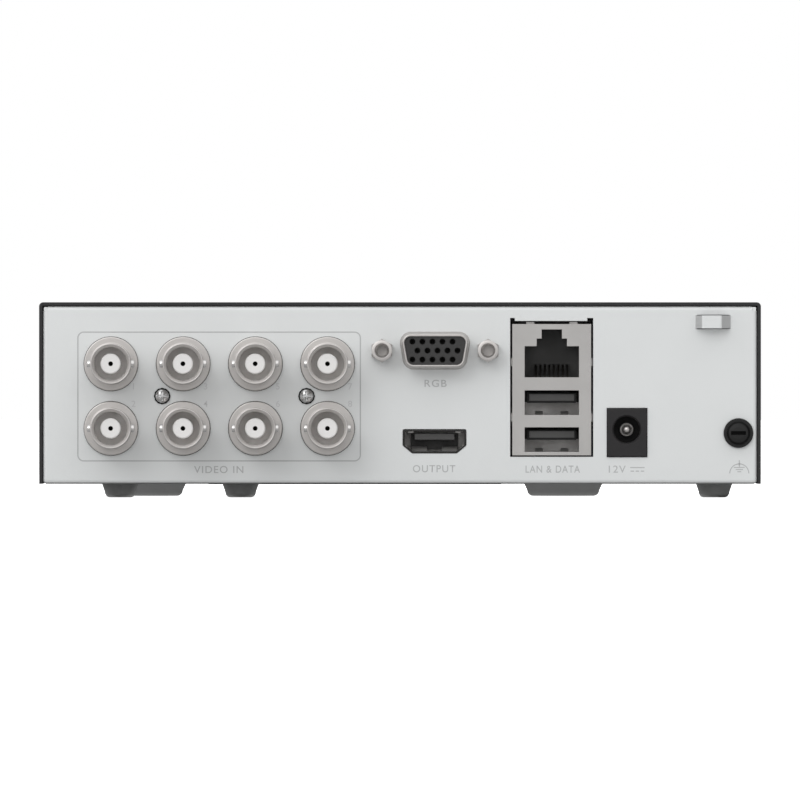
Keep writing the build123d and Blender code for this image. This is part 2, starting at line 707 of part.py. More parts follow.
def make_jackscrews():
    """Two hexagonal jackscrews with a turned end face and a threaded hole."""
    screws = []
    front = REAR + JACKSCREW_PROUD
    for side in (-1, 1):
        x = MONITOR_X + side * JACKSCREW_SPREAD
        body = panel_prism(hexagon(JACKSCREW_AF), x, MONITOR_Z, REAR, front)
        corner = JACKSCREW_AF / math.sqrt(3)
        limit = corner + 0.1
        turning = [(0, front), (corner - 0.55, front), (limit, front - 0.5), (limit, REAR), (0, REAR)]
        body = body & turned_y(turning, x, MONITOR_Z)
        body += rod_y(JACKSCREW_SHANK_R, x, MONITOR_Z, WALL_INSIDE - 7.0, REAR + 0.5)
        body -= rod_y(JACKSCREW_THREAD_R, x, MONITOR_Z, REAR + 0.6, front + 1)
        wide = JACKSCREW_THREAD_R + 0.35
        mouth = [(0, front + 0.1), (wide, front + 0.1), (JACKSCREW_THREAD_R, front - 0.3), (0, front - 0.3)]
        screws.append(body - turned_y(mouth, x, MONITOR_Z))
    return screws


# ================================================================ video output
def make_output_shell():
    """A folded metal shell with four springs inside."""
    middle = (OUTPUT_TOP + OUTPUT_BOTTOM) / 2
    front = REAR + 0.15
    back = front - OUTPUT_DEPTH
    shell = panel_prism(output_outline(0), OUTPUT_X, middle, back, front)
    shell -= panel_prism(output_outline(-OUTPUT_WALL), OUTPUT_X, middle, back + 0.4, front + 1)
    for side in (-1, 1):
        spring = [(front - 1.0, 0.2), (front - 4.6, 1.55), (front - 5.6, 1.55), (front - 8.5, 0.2)]
        start = OUTPUT_X - 5.4 if side < 0 else OUTPUT_X + 1.75
        plane = Plane.YZ.offset(start)
        shell += extrude(plane * outline([(y, OUTPUT_BOTTOM + rise) for y, rise in spring]), amount=3.65)
        high = (OUTPUT_X + side * 4.9, OUTPUT_X + side * 6.2)
        shell += block(high, (back + 0.2, front - 2.2), (OUTPUT_TOP - 0.75, OUTPUT_TOP - 0.3))
        tail = (OUTPUT_X + side * (OUTPUT_HALF - 0.9), OUTPUT_X + side * (OUTPUT_HALF - 0.5))
        shell += block(tail, (back + 2.0, back + 4.0), (BOARD_TOP, OUTPUT_BOTTOM + 2.0))
    return shell


def make_output_tongue():
    """The plastic tongue and its root."""
    front = REAR + 0.15
    back = front - OUTPUT_DEPTH + 0.45
    tongue = block(span(OUTPUT_X, 4.65), (back, front - 1.2), (13.65, 15.0))
    root = block(span(OUTPUT_X, 5.6), (back, back + 2.2), (11.4, 15.1))
    return tongue + root


def make_output_contacts():
    """Contact strips under the tongue."""
    front = REAR + 0.15
    back = front - OUTPUT_DEPTH + 0.45 + 2.2
    strips = []
    for number in range(-4, 6):
        x = OUTPUT_X - 0.5 + number
        strips.append(block(span(x, 0.22), (back, front - 1.6), (13.5, 13.65)))
    return strips


# ================================================================ network and data port tower
def make_tower_shield():
    """The metal can round the three sockets, with openings in its face and grounding springs."""
    face = REAR + TOWER_PROUD
    back = face - TOWER_DEPTH
    shield = block((TOWER_RIGHT, TOWER_LEFT), (back, face), (TOWER_BOTTOM, TOWER_TOP))
    hollow_x = (TOWER_RIGHT + TOWER_WALL, TOWER_LEFT - TOWER_WALL)
    hollow_z = (TOWER_BOTTOM - 1, TOWER_TOP - TOWER_WALL)
    shield -= block(hollow_x, (back + TOWER_WALL, face - TOWER_WALL), hollow_z)
    shield -= panel_prism(network_outline(), PORT_X, 0, face - 1, face + 1)
    for low in DATA_PORTS.values():
        level = (low, low + DATA_PORT_HEIGHT)
        shield -= block(span(PORT_X, PORT_HALF), span(face, 1), level)
    for x in (-30.7, -40.85):
        shield += block(span(x, 0.95), (face - 3.2, face - 1.4), (TOWER_TOP - 0.1, TOWER_TOP + 0.55))
    for x in (TOWER_LEFT, TOWER_RIGHT):
        out = 0.35 if x == TOWER_LEFT else -0.35
        for z in (31.9, 18.9):
            shield += block((x - out / 4, x + out), (face - 3.2, face - 1.4), span(z, 0.95))
    return shield


def tower_inside():
    """Left and right limits of the space inside the can."""
    return (TOWER_RIGHT + TOWER_WALL, TOWER_LEFT - TOWER_WALL)


def make_network_insert():
    """The black moulding of the network socket, with slots for the contacts."""
    front = REAR + TOWER_PROUD - TOWER_WALL
    back = front - NETWORK_DEPTH - 5.0
    insert = block(tower_inside(), (back, front), (NETWORK_BOTTOM - 1.2, TOWER_TOP - TOWER_WALL))
    insert -= panel_prism(network_outline(), PORT_X, 0, front - NETWORK_DEPTH, front + 1)
    floor = front - NETWORK_DEPTH
    for x in network_contact_places():
        insert -= block(span(x, 0.27), (floor - 2.5, floor + 1), COMB_LEVEL)
    return insert


def network_contact_places():
    """Eight contacts about the centre line."""
    return [PORT_X + (number - 3.5) * 1.06 for number in range(8)]


def make_network_contacts():
    """Eight sprung wires that rise from the mouth towards the back of the socket."""
    front = REAR + TOWER_PROUD - TOWER_WALL - 4.6
    wires = []
    path = [
        (front, NETWORK_BOTTOM),
        (front, NETWORK_BOTTOM + 0.4),
        (front - 6.6, NETWORK_BOTTOM + 2.9),
        (front - 6.9, NETWORK_BOTTOM + 2.6),
        (front - 0.9, NETWORK_BOTTOM + 0.3),
        (front - 0.9, NETWORK_BOTTOM),
    ]
    for x in network_contact_places():
        plane = Plane.YZ.offset(x - 0.2)
        wires.append(extrude(plane * outline(path), amount=0.4))
    return wires


def make_data_tongue(low):
    """A data port: its moulded back and the tongue in the upper half of the opening."""
    front = REAR + TOWER_PROUD - TOWER_WALL
    back = front - DATA_PORT_DEPTH
    inside = tower_inside()
    level = (low - 0.1, low + DATA_PORT_HEIGHT + 0.1)
    body = block((inside[0] + 1.5, inside[1] - 1.5), (back - 3.0, back), level)
    tongue = block(span(PORT_X, 5.3), (back, front - 1.4), (low + 3.35, low + 4.9))
    for shift in DATA_CONTACTS:
        x = PORT_X + shift
        tongue -= block(span(x, 0.6), (back, front - 2.2), (low + 3.2, low + 3.6))
    return body + tongue


def make_data_contacts():
    """Four strips under each tongue."""
    front = REAR + TOWER_PROUD - TOWER_WALL
    back = front - DATA_PORT_DEPTH
    strips = []
    for low in DATA_PORTS.values():
        for shift in DATA_CONTACTS:
            x = PORT_X + shift
            strips.append(block(span(x, 0.5), (back, front - 2.2), (low + 3.2, low + 3.6)))
    return strips


def make_data_liners():
    """The two folded metal liners round the data ports, with sprung tongues."""
    front = REAR + TOWER_PROUD - TOWER_WALL
    back = front - DATA_PORT_DEPTH
    liners = []
    for low in DATA_PORTS.values():
        wall = 0.3
        high = low + DATA_PORT_HEIGHT
        outer_x = (PORT_X - PORT_HALF - wall, PORT_X + PORT_HALF + wall)
        liner = block(outer_x, (back, front), (low - wall, high + wall))
        liner -= block(span(PORT_X, PORT_HALF), (back - 1, front + 1), (low, high))
        liner += block(span(PORT_X, PORT_HALF), (back, back + wall), (low, low + 3.05))
        for shift in (-3.0, 3.0):
            x = PORT_X + shift
            plane = Plane.YZ.offset(x - 0.9)
            rise = [(front - 1.5, low - 0.1), (front - 4.5, low + 0.9)]
            spring = rise + [(front - 5.2, low + 0.9), (back + 2, low - 0.1)]
            liner += extrude(plane * outline(spring), amount=1.8)
        liners.append(liner)
    return liners


# ================================================================ power inlet and ground screw
def make_power_body():
    """A black moulded block with a round plug hole."""
    front = REAR + 0.5
    body = block((POWER_RIGHT, POWER_LEFT), (front - 14.0, front), (POWER_BOTTOM, POWER_TOP))
    rim = [edge for edge in body.edges() if abs(edge.center().Y - front) < 0.01]
    body = fillet(rim, 0.25)
    body -= rod_y(POWER_HOLE_R, POWER_X, POWER_Z, front - 9.5, front + 1)
    mouth = [
        (0, front + 0.1),
        (POWER_HOLE_R + 0.4, front + 0.1),
        (POWER_HOLE_R, front - 0.4),
        (0, front - 0.4),
    ]
    return body - turned_y(mouth, POWER_X, POWER_Z)


def make_power_pin():
    """The centre pin: a collar at its root and a rounded tip."""
    root = REAR + 0.5 - 9.5
    tip = REAR - 0.9
    profile = [
        (0, root),
        (POWER_COLLAR_R, root),
        (POWER_COLLAR_R, root + 4.6),
        (POWER_PIN_R, root + 4.6),
        (POWER_PIN_R, tip - 0.5),
        (POWER_PIN_R - 0.15, tip - 0.15),
        (POWER_PIN_R - 0.4, tip),
        (0, tip),
    ]
    return turned_y(profile, POWER_X, POWER_Z)


def make_ground_washer():
    """The flat washer under the ground screw's head."""
    ring = rod_y(GROUND_WASHER_R, GROUND_X, GROUND_Z, REAR + 0.02, REAR + 0.02 + GROUND_WASHER)
    rim = [edge for edge in ring.edges() if edge.center().Y > REAR + 0.3]
    ring = fillet(rim, 0.2)
    return ring - rod_y(GROUND_SHANK_R + 0.15, GROUND_X, GROUND_Z, REAR - 1, REAR + 2)


def make_ground_screw():
    """A slotted pan-head screw with a shank that reaches through the nut."""
    seat = REAR + 0.02 + GROUND_WASHER + 0.03
    top = seat + GROUND_HEAD
    profile = [
        (0, top),
        (1.4, top - 0.1),
        (2.2, top - 0.45),
        (GROUND_HEAD_R, top - 1.1),
        (GROUND_HEAD_R, seat),
        (GROUND_SHANK_R, seat),
        (GROUND_SHANK_R, WALL_INSIDE - 4.2),
        (GROUND_SHANK_R - 0.4, WALL_INSIDE - 4.6),
        (0, WALL_INSIDE - 4.6),
    ]
    screw = turned_y(profile, GROUND_X, GROUND_Z)
    slot = span(GROUND_X, 1.75)
    return screw - block(slot, (top - 1.1, top + 1), span(GROUND_Z, 0.45))


# ================================================================ mainboard
def make_mainboard():
    """The main circuit board, with screw holes and a notch for the disk connector."""
    board = block((-BOARD_HALF, BOARD_HALF), (BOARD_FRONT, BOARD_BACK), (BOARD_TOP - BOARD, BOARD_TOP))
    for x, y in POSTS:
        board -= rod_z(1.6, x, y, BOARD_TOP - 3, BOARD_TOP + 1)
    board -= block(span(DISK_X, 22.0), (BOARD_FRONT - 1, BOARD_FRONT + 6), (5, 12))
    return board


def make_board_screws():
    """Four pan-head screws that hold the mainboard to its posts."""
    screws = []
    for x, y in POSTS:
        head = rod_z(2.7, x, y, BOARD_TOP, BOARD_TOP + 1.8)
        rim = [edge for edge in head.edges() if edge.center().Z > BOARD_TOP + 1.7]
        head = fillet(rim, 0.7)
        head -= block(span(x, 1.4), span(y, 0.25), (BOARD_TOP + 1.0, BOARD_TOP + 3))
        head -= block(span(x, 0.25), span(y, 1.4), (BOARD_TOP + 1.0, BOARD_TOP + 3))
        screws.append(head + rod_z(1.2, x, y, FLOOR + 0.3, BOARD_TOP))
    return screws


def make_board_chips():
    """The chips, coils and headers that stand on the mainboard."""
    chips = [block(span(CHIP_X, CHIP_HALF), span(CHIP_Y, CHIP_HALF), (BOARD_TOP, CHIP_TOP))]
    for x, y, half_x, half_y, tall in (
        (14.0, 40.0, 4.5, 6.5, 1.1),
        (14.0, 55.0, 4.5, 6.5, 1.1),
        (34.0, 58.0, 7.0, 7.0, 1.4),
        (54.0, 60.0, 5.0, 4.0, 1.4),
        (-38.0, 56.0, 6.0, 6.0, 1.3),
        (-56.0, 55.0, 4.0, 4.0, 3.4),
        (-56.0, 65.5, 3.0, 3.0, 2.6),
        (-74.0, 50.0, 3.0, 5.0, 1.2),
        (36.0, 40.0, 3.0, 2.4, 3.5),
    ):
        chips.append(block(span(x, half_x), span(y, half_y), (BOARD_TOP, BOARD_TOP + tall)))
    header = block(span(LENS_X, 5.6), (29.0, 32.0), (BOARD_TOP, BOARD_TOP + 5.0))
    for side in (-1, 1):
        arm = (LENS_X + side * 4.7, LENS_X + side * 5.6)
        header += block(arm, (26.0, 29.5), (BOARD_TOP, BOARD_TOP + 5.0))
    chips.append(header)
    return chips


def make_capacitors():
    """Upright electrolytic capacitors near the power inlet."""
    cans = []
    for x, y, radius, tall in CAPACITORS:
        can = rod_z(radius, x, y, BOARD_TOP, BOARD_TOP + tall)
        can = fillet([edge for edge in can.edges() if edge.center().Z > BOARD_TOP + 1], 0.5)
        cans.append(can)
    return cans


def make_heat_sink():
    """A finned block on the main chip."""
    sink = block(span(CHIP_X, SINK_HALF), span(CHIP_Y, SINK_HALF), (CHIP_TOP, SINK_TOP))
    pitch = 2 * SINK_HALF / SINK_FINS
    for number in range(SINK_FINS - 1):
        x = CHIP_X - SINK_HALF + (number + 1) * pitch
        gap = (x - pitch * 0.32, x + pitch * 0.32)
        sink -= block(gap, span(CHIP_Y, SINK_HALF + 1), (CHIP_TOP + 2.4, SINK_TOP + 1))
    return sink


def make_cell_holder():
    """A round plastic cup for the clock's cell."""
    cup = rod_z(CELL_R + 1.4, CELL_X, CELL_Y, BOARD_TOP, BOARD_TOP + 4.2)
    cup -= rod_z(CELL_R + 0.1, CELL_X, CELL_Y, BOARD_TOP + 1.0, BOARD_TOP + 6)
    return cup - block(span(CELL_X, 4), (CELL_Y - 15, CELL_Y - 5), (BOARD_TOP + 1.0, BOARD_TOP + 6))


def make_coin_cell():
    """The clock's cell: a wide can with a smaller cap on top."""
    low = BOARD_TOP + 1.05
    cell = rod_z(CELL_R, CELL_X, CELL_Y, low, low + 2.6)
    return cell + rod_z(CELL_R - 1.3, CELL_X, CELL_Y, low + 2.6, low + 3.2)


# ================================================================ hard disk
def disk_span():
    """Left and right faces of the disk."""
    return span(DISK_X, DISK_HALF)


def make_disk_casting():
    """The cast tray: walls, a floor with room for the board below, and the platter well."""
    front = DISK_REAR - DISK_LONG
    top = DISK_BOTTOM + DISK_HEIGHT - DISK_LID
    casting = block(disk_span(), (front, DISK_REAR), (DISK_BOTTOM, top))
    casting = fillet(casting.edges().filter_by(Axis.Z), 2.0)
    casting -= rod_z(PLATTER_R + 0.9, DISK_X, SPINDLE_Y, DISK_CAVITY_FLOOR, top + 1)
    arm_room = block((DISK_X - 31.0, DISK_X + 32.4), (-30.0, 11.6), (DISK_CAVITY_FLOOR, top + 1))
    casting -= fillet(arm_room.edges().filter_by(Axis.Z), 3.0)
    under = (DISK_BOTTOM - 1, DISK_BOTTOM + 2.0)
    board_room = block(span(DISK_X, 27.0), (front + 30.0, DISK_REAR + 1), under)
    casting -= board_room
    casting -= block(span(DISK_X, 22.5), (13.0, DISK_REAR + 1), (DISK_BOTTOM - 1, DISK_BOTTOM + 6.6))
    for x, y in disk_screw_places():
        casting -= rod_z(1.55, x, y, DISK_BOTTOM - 1, DISK_BOTTOM + 3.0)
    casting += rod_z(SPINDLE_R - 0.05, DISK_X, SPINDLE_Y, DISK_CAVITY_FLOOR - 0.2, DISK_CAVITY_FLOOR + 4.6)
    casting += rod_z(PIVOT_R - 0.05, PIVOT_X, PIVOT_Y, DISK_CAVITY_FLOOR - 0.2, DISK_CAVITY_FLOOR + 4.6)
    return casting


def make_disk_lid():
    """The thin lid, with a shallow raised ring above the platters."""
    low = DISK_BOTTOM + DISK_HEIGHT - DISK_LID
    lid = block(disk_span(), (DISK_REAR - DISK_LONG, DISK_REAR), (low, low + DISK_LID))
    lid = fillet(lid.edges().filter_by(Axis.Z), 2.0)
    ring = rod_z(31.0, DISK_X, SPINDLE_Y, low + 0.5, low + 1) - rod_z(28.5, DISK_X, SPINDLE_Y, low, low + 2)
    return lid - ring


def make_platters():
    """Two platters on their hub, which turns on the spindle."""
    low = DISK_CAVITY_FLOOR
    stack = rod_z(HUB_R, DISK_X, SPINDLE_Y, low + 0.3, low + 4.6)
    for level in (0.9, 3.1):
        stack += rod_z(PLATTER_R, DISK_X, SPINDLE_Y, low + level, low + level + 0.7)
    return stack - rod_z(SPINDLE_R, DISK_X, SPINDLE_Y, low - 1, low + 6)


def make_actuator():
    """The swinging arm with its heads above the platters, the pivot ring and the coil behind."""
    low = DISK_CAVITY_FLOOR
    pivot = Pos(PIVOT_X, PIVOT_Y, 0)
    body = rod_z(5.4, 0, 0, low + 0.3, low + 4.6)
    reach = [(-4.6, -2.0), (-33.0, -11.5), (-34.0, -14.0), (-31.0, -15.0), (-2.0, -5.0)]
    coil = [(4.6, -1.5), (5.6, 4.0), (1.0, 13.0), (-14.0, 13.0), (-4.6, 2.0)]
    for level in (1.95, 4.1):
        body += extrude(Plane.XY.offset(low + level) * outline(reach), amount=0.5)
    body += extrude(Plane.XY.offset(low + 1.8) * outline(coil), amount=1.6)
    body -= rod_z(PIVOT_R, 0, 0, low - 1, low + 6)
    return pivot * body


def make_disk_board():
    """The controller board under the casting, with the connector tongues at the rear."""
    front = DISK_REAR - DISK_LONG + 30.5
    board = block(span(DISK_X, 26.6), (front, 14.6), (DISK_BOTTOM + 0.5, DISK_BOTTOM + 1.5))
    board += block(span(DISK_X, 21.0), (13.3, 15.0), (DISK_BOTTOM + 0.5, DISK_BOTTOM + 6.0))
    for low, high in ((-18.5, -9.0), (-5.5, 17.5)):
        board += block((DISK_X + low, DISK_X + high), (14.9, 19.6), (DISK_BOTTOM + 3.0, DISK_BOTTOM + 4.2))
    return board


def make_disk_connector():
    """The board's socket, which sits in the mainboard's notch and takes the disk's tongues."""
    low = DISK_BOTTOM + 0.6
    body = block(span(DISK_X, 21.6), (15.6, 30.6), (low, DISK_BOTTOM + 6.3))
    for start, end in ((-18.7, -8.8), (-5.7, 17.7)):
        body -= block((DISK_X + start, DISK_X + end), (14.0, 19.9), (DISK_BOTTOM + 2.8, DISK_BOTTOM + 4.4))
    return body


def make_disk_screws():
    """Four screws that hold the disk from below, heads flush in the base."""
    screws = []
    seat = DISK_BOTTOM - SHEET
    for x, y in disk_screw_places():
        head = rod_z(2.8, x, y, seat - 1.3, seat)
        head -= block(span(x, 1.7), span(y, 0.3), (seat - 2, seat - 0.8))
        head -= block(span(x, 0.3), span(y, 1.7), (seat - 2, seat - 0.8))
        screws.append(head + rod_z(1.5, x, y, seat, DISK_BOTTOM + 2.6))
    return screws


# ================================================================ writing the nodes
def as_solid(shape):
    """One node's shape: a list of separate solids becomes one compound."""
    if isinstance(shape, list):
        return Compound(children=[piece if isinstance(piece, Solid) else piece.solid() for piece in shape])
    return shape


def all_nodes():
    """Every node's name and shape."""
    nodes = {
        "chassis": make_chassis(),
        "top_cover": make_cover(),
        "cover_screws": make_cover_screws(),
        "front_bezel": make_bezel(),
        "indicator_lens": make_lens(),
        "indicator_board": make_indicator_board(),
        "indicator_cable": make_indicator_cable(),
    }
    for side, x in REAR_FEET.items():
        nodes[f"rear_foot_{side}"] = make_foot(x, REAR_FEET_Y, REAR_FOOT_R, 1.6)
    for side, x in FRONT_FEET.items():
        nodes[f"front_foot_{side}"] = make_foot(x, FRONT_FEET_Y, FRONT_FOOT_R, 5.0)
    for number, (x, z) in enumerate(video_in_places(), start=1):
        nodes[f"video_in_shell_{number}"] = make_video_in_shell(x, z)
    nodes["video_in_insulators"] = make_insulators()
    nodes["video_in_contacts"] = make_video_in_contacts()
    for number, x in enumerate(housing_centres(), start=1):
        nodes[f"video_in_housing_{number}"] = make_video_in_housing(x)
    nodes["housing_screws"] = make_housing_screws()
    nodes["monitor_socket_housing"] = make_monitor_housing()
    nodes["monitor_socket_shell"] = make_monitor_shell()
    nodes["monitor_socket_insert"] = make_monitor_insert()
    nodes["monitor_socket_contacts"] = make_monitor_contacts()
    nodes["jackscrews"] = make_jackscrews()
    nodes["video_out_shell"] = make_output_shell()
    nodes["video_out_tongue"] = make_output_tongue()
    nodes["video_out_contacts"] = make_output_contacts()
    nodes["port_tower_shield"] = make_tower_shield()
    nodes["network_insert"] = make_network_insert()
    nodes["network_contacts"] = make_network_contacts()
    for level, low in DATA_PORTS.items():
        nodes[f"data_port_{level}"] = make_data_tongue(low)
    nodes["data_port_contacts"] = make_data_contacts()
    nodes["data_port_liners"] = make_data_liners()
    nodes["power_inlet_body"] = make_power_body()
    nodes["power_inlet_pin"] = make_power_pin()
    nodes["ground_washer"] = make_ground_washer()
    nodes["ground_screw"] = make_ground_screw()
    nodes["mainboard"] = make_mainboard()
    nodes["mainboard_screws"] = make_board_screws()
    nodes["board_chips"] = make_board_chips()
    nodes["board_capacitors"] = make_capacitors()
    nodes["heat_sink"] = make_heat_sink()
    nodes["cell_holder"] = make_cell_holder()
    nodes["coin_cell"] = make_coin_cell()
    nodes["disk_casting"] = make_disk_casting()
    nodes["disk_lid"] = make_disk_lid()
    nodes["disk_platters"] = make_platters()
    nodes["disk_actuator"] = make_actuator()
    nodes["disk_board"] = make_disk_board()
    nodes["disk_connector"] = make_disk_connector()
    nodes["disk_screws"] = make_disk_screws()
    return nodes


os.makedirs("parts", exist_ok=True)
for node, shape in all_nodes().items():
    export_step(as_solid(shape), f"parts/{node}.step")
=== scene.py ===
import json
import math

import bmesh
import bpy
from mathutils import Matrix, Vector


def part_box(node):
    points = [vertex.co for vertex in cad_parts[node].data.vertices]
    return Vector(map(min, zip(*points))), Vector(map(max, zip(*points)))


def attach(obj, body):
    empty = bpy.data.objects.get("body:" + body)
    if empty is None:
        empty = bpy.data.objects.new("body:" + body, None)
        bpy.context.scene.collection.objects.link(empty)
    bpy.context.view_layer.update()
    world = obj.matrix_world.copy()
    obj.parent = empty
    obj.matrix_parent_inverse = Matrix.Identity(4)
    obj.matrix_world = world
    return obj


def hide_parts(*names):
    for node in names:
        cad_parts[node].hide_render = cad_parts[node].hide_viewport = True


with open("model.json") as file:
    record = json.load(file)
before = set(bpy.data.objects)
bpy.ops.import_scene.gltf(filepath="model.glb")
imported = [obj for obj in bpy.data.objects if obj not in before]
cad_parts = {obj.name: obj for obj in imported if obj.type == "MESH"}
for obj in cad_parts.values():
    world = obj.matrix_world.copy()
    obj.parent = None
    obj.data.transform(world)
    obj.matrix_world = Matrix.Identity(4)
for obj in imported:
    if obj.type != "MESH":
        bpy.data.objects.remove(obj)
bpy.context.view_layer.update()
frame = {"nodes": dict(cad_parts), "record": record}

MM = 0.001

# ---------------------------------------------------------------- camera, light and floor
VIEW_WIDTH = 188.4 * MM
VIEW_HEIGHT = 22.98 * MM
LENS = 1500.0
SENSOR = 36.0
SKY_TOWARDS = (0.3, 0.6, 0.7)
SKY_DIM_BELOW = -0.6
SKY_DIM = 0.1
SKY_BRIGHT = 1.37
KEY_PLACE = (0.8, 1.6, 1.0)
KEY_SIZE = 0.8
KEY_POWER = 6.0
FILL_PLACE = (-0.9, -1.6, 1.0)
FILL_SIZE = 1.2
FILL_POWER = 16.0
UNDER_SIZE = 0.15
UNDER_POWER = 0.02
FLOOR_SIZE = 30.0
FLOOR_DROP = 0.1 * MM
FLOOR_GLOW = 1.0
FLOOR_DIM = 0.5

# ---------------------------------------------------------------- small details
JACKSCREW_FLATS = 4.85 * MM
JACKSCREW_FACE_R = 2.4 * MM
JACKSCREW_CHAMFER = 0.5
JACKSCREW_MOUTH_R = 1.72 * MM
JACKSCREW_BORE_R = 1.42 * MM
JACKSCREW_BORE_DEPTH = 4.2 * MM
THREAD_START = 0.35 * MM
THREAD_STEP = 0.22 * MM
THREAD_DEPTH = 0.16 * MM
MONITOR_HALF_WIDTH = 8.05 * MM
MONITOR_HALF_HEIGHT = 3.85 * MM
MONITOR_CORNER = 2.0 * MM
MONITOR_SLANT = math.radians(10)
SCREW_DOME_R = 1.62 * MM
SCREW_DOME = 0.85 * MM
SCREW_RIM = 0.25 * MM
SCREW_RECESS = 0.55 * MM
CROSS_HALF_WIDTH = 0.3 * MM
CROSS_SOFT_EDGE = 0.08 * MM
CROSS_REACH = 0.7
CROSS_FADE = 0.12
WASHER_THICK = 0.25 * MM
WASHER_DRAFT = 0.03 * MM
WASHER_OVERLAP = 0.1 * MM
WASHER_TEETH = 12
WASHER_TOOTH = 0.04 * MM
TONGUE_HALF_WIDTH = 5.85 * MM
TONGUE_SPAN = (2.85 * MM, 5.15 * MM)
TONGUE_STEP = 0.5 * MM
TONGUE_CORNER = 0.25 * MM
TONGUE_STEP_BACK = 4 * MM
TONGUE_STEP_FRONT = 0.15 * MM
INLET_SLEEVE = 4.6 * MM
INLET_SLEEVE_R = 1.65 * MM
INLET_SLEEVE_BORE_R = 1.2 * MM
INLET_PIN_R = 0.98 * MM
INLET_GAP_DEPTH = 2.4 * MM
FOOT_EDGE = 1.3 * MM
REAR_FOOT_TAPER = 1.1 * MM
FRONT_FOOT_TAPER = 1.5 * MM
FOOT_HOLLOW_SHARE = 0.4
FOOT_HOLLOW_DEPTH = 0.4 * MM
BARREL_R = 4.83 * MM
BORE_R = 3.95 * MM
BORE_DEPTH = 9.2 * MM
BORE_FLOOR_R = 2.38 * MM
MOUTH_WIDTH = 0.62 * MM
MOUTH_DEPTH = 0.8 * MM
SHOULDER_PROUD = 1.2 * MM
LUG_R = 0.9 * MM
LUG_BACK = 4.6 * MM
LUG_ROOT = 4.7 * MM
LUG_REACH = 5.53 * MM
TAB_SIZE = 0.95 * MM
TAB_INSET = 0.25 * MM

# ---------------------------------------------------------------- places, all taken from the frame
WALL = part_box("ground_washer")[0].y - 0.02 * MM
SOCKETS = [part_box(f"video_in_shell_{number}") for number in range(1, 9)]


# ================================================================ materials
def add_node(material, kind, **inputs):
    """A new shader node with some of its inputs set."""
    node = material.node_tree.nodes.new(kind)
    for name, value in inputs.items():
        node.inputs[name].default_value = value
    return node


def join(material, output, target):
    """Links an output socket to an input socket."""
    material.node_tree.links.new(output, target)


def noise(material, scale, detail=3.0, stretch=(1.0, 1.0, 1.0)):
    """A noise pattern in the row frame's own coordinates."""
    place = material.node_tree.nodes.new("ShaderNodeTexCoord")
    mapping = material.node_tree.nodes.new("ShaderNodeMapping")
    mapping.inputs["Scale"].default_value = stretch
    pattern = add_node(material, "ShaderNodeTexNoise", Scale=scale, Detail=detail)
    join(material, place.outputs["Object"], mapping.inputs["Vector"])
    join(material, mapping.outputs["Vector"], pattern.inputs["Vector"])
    return pattern.outputs["Fac"]


def remap(material, value, low, high, start=0.3, stop=0.7):
    """Spreads a pattern from start..stop to low..high."""
    node = material.node_tree.nodes.new("ShaderNodeMapRange")
    node.inputs["From Min"].default_value = start
    node.inputs["From Max"].default_value = stop
    node.inputs["To Min"].default_value = low
    node.inputs["To Max"].default_value = high
    join(material, value, node.inputs["Value"])
    return node.outputs["Result"]


def mix_colour(material, factor, first, second):
    """Mixes two colours, each a socket or three numbers."""
    node = material.node_tree.nodes.new("ShaderNodeMix")
    node.data_type = "RGBA"
    join(material, factor, node.inputs["Factor"])
    for index, colour in ((6, first), (7, second)):
        if isinstance(colour, (tuple, list)):
            node.inputs[index].default_value = (*colour, 1.0)
        else:
            join(material, colour, node.inputs[index])
    return node.outputs[2]


def edge_mask(material, radius):
    """1 along sharp edges and 0 on flat faces, with the rounded normal that goes with it."""
    rounded = material.node_tree.nodes.new("ShaderNodeBevel")
    rounded.samples = 4
    rounded.inputs["Radius"].default_value = radius
    flat = material.node_tree.nodes.new("ShaderNodeNewGeometry")
    dot = material.node_tree.nodes.new("ShaderNodeVectorMath")
    dot.operation = "DOT_PRODUCT"
    join(material, rounded.outputs["Normal"], dot.inputs[0])
    join(material, flat.outputs["Normal"], dot.inputs[1])
    return remap(material, dot.outputs["Value"], 1.0, 0.0, 0.75, 0.995), rounded.outputs["Normal"]


def surface(
    name,
    colour,
    roughness,
    metallic=0.0,
    tint=0.06,
    spread=0.06,
    mottle=90.0,
    smudge=240.0,
    grain=2500.0,
    depth=0.01,
    stretch=(1.0, 1.0, 1.0),
    edge=None,
    edge_radius=0.08,
    specular=0.5,
):
    """A procedural material: mottled colour, uneven roughness, a fine grain and worn edges.

    The lengths depth and edge_radius are in millimetres.
    """
    material = bpy.data.materials.new(name)
    material.use_nodes = True
    shader = material.node_tree.nodes["Principled BSDF"]
    shader.inputs["Metallic"].default_value = metallic
    shader.inputs["Specular IOR Level"].default_value = specular
    dark = tuple(part * (1 - tint) for part in colour)
    light = tuple(min(1.0, part * (1 + tint)) for part in colour)
    patches = noise(material, mottle, 4.0, stretch)
    tone = mix_colour(material, remap(material, patches, 0.0, 1.0), dark, light)
    mask, rounded = edge_mask(material, edge_radius * MM)
    if edge is not None:
        tone = mix_colour(material, mask, tone, edge)
    join(material, tone, shader.inputs["Base Color"])
    smears = noise(material, smudge, 3.0, stretch)
    uneven = remap(material, smears, roughness - spread, roughness + spread)
    join(material, uneven, shader.inputs["Roughness"])
    bump = material.node_tree.nodes.new("ShaderNodeBump")
    bump.inputs["Strength"].default_value = 0.6
    bump.inputs["Distance"].default_value = depth * MM
    join(material, noise(material, grain, 2.0, stretch), bump.inputs["Height"])
    join(material, rounded, bump.inputs["Normal"])
    join(material, bump.outputs["Normal"], shader.inputs["Normal"])
    return material


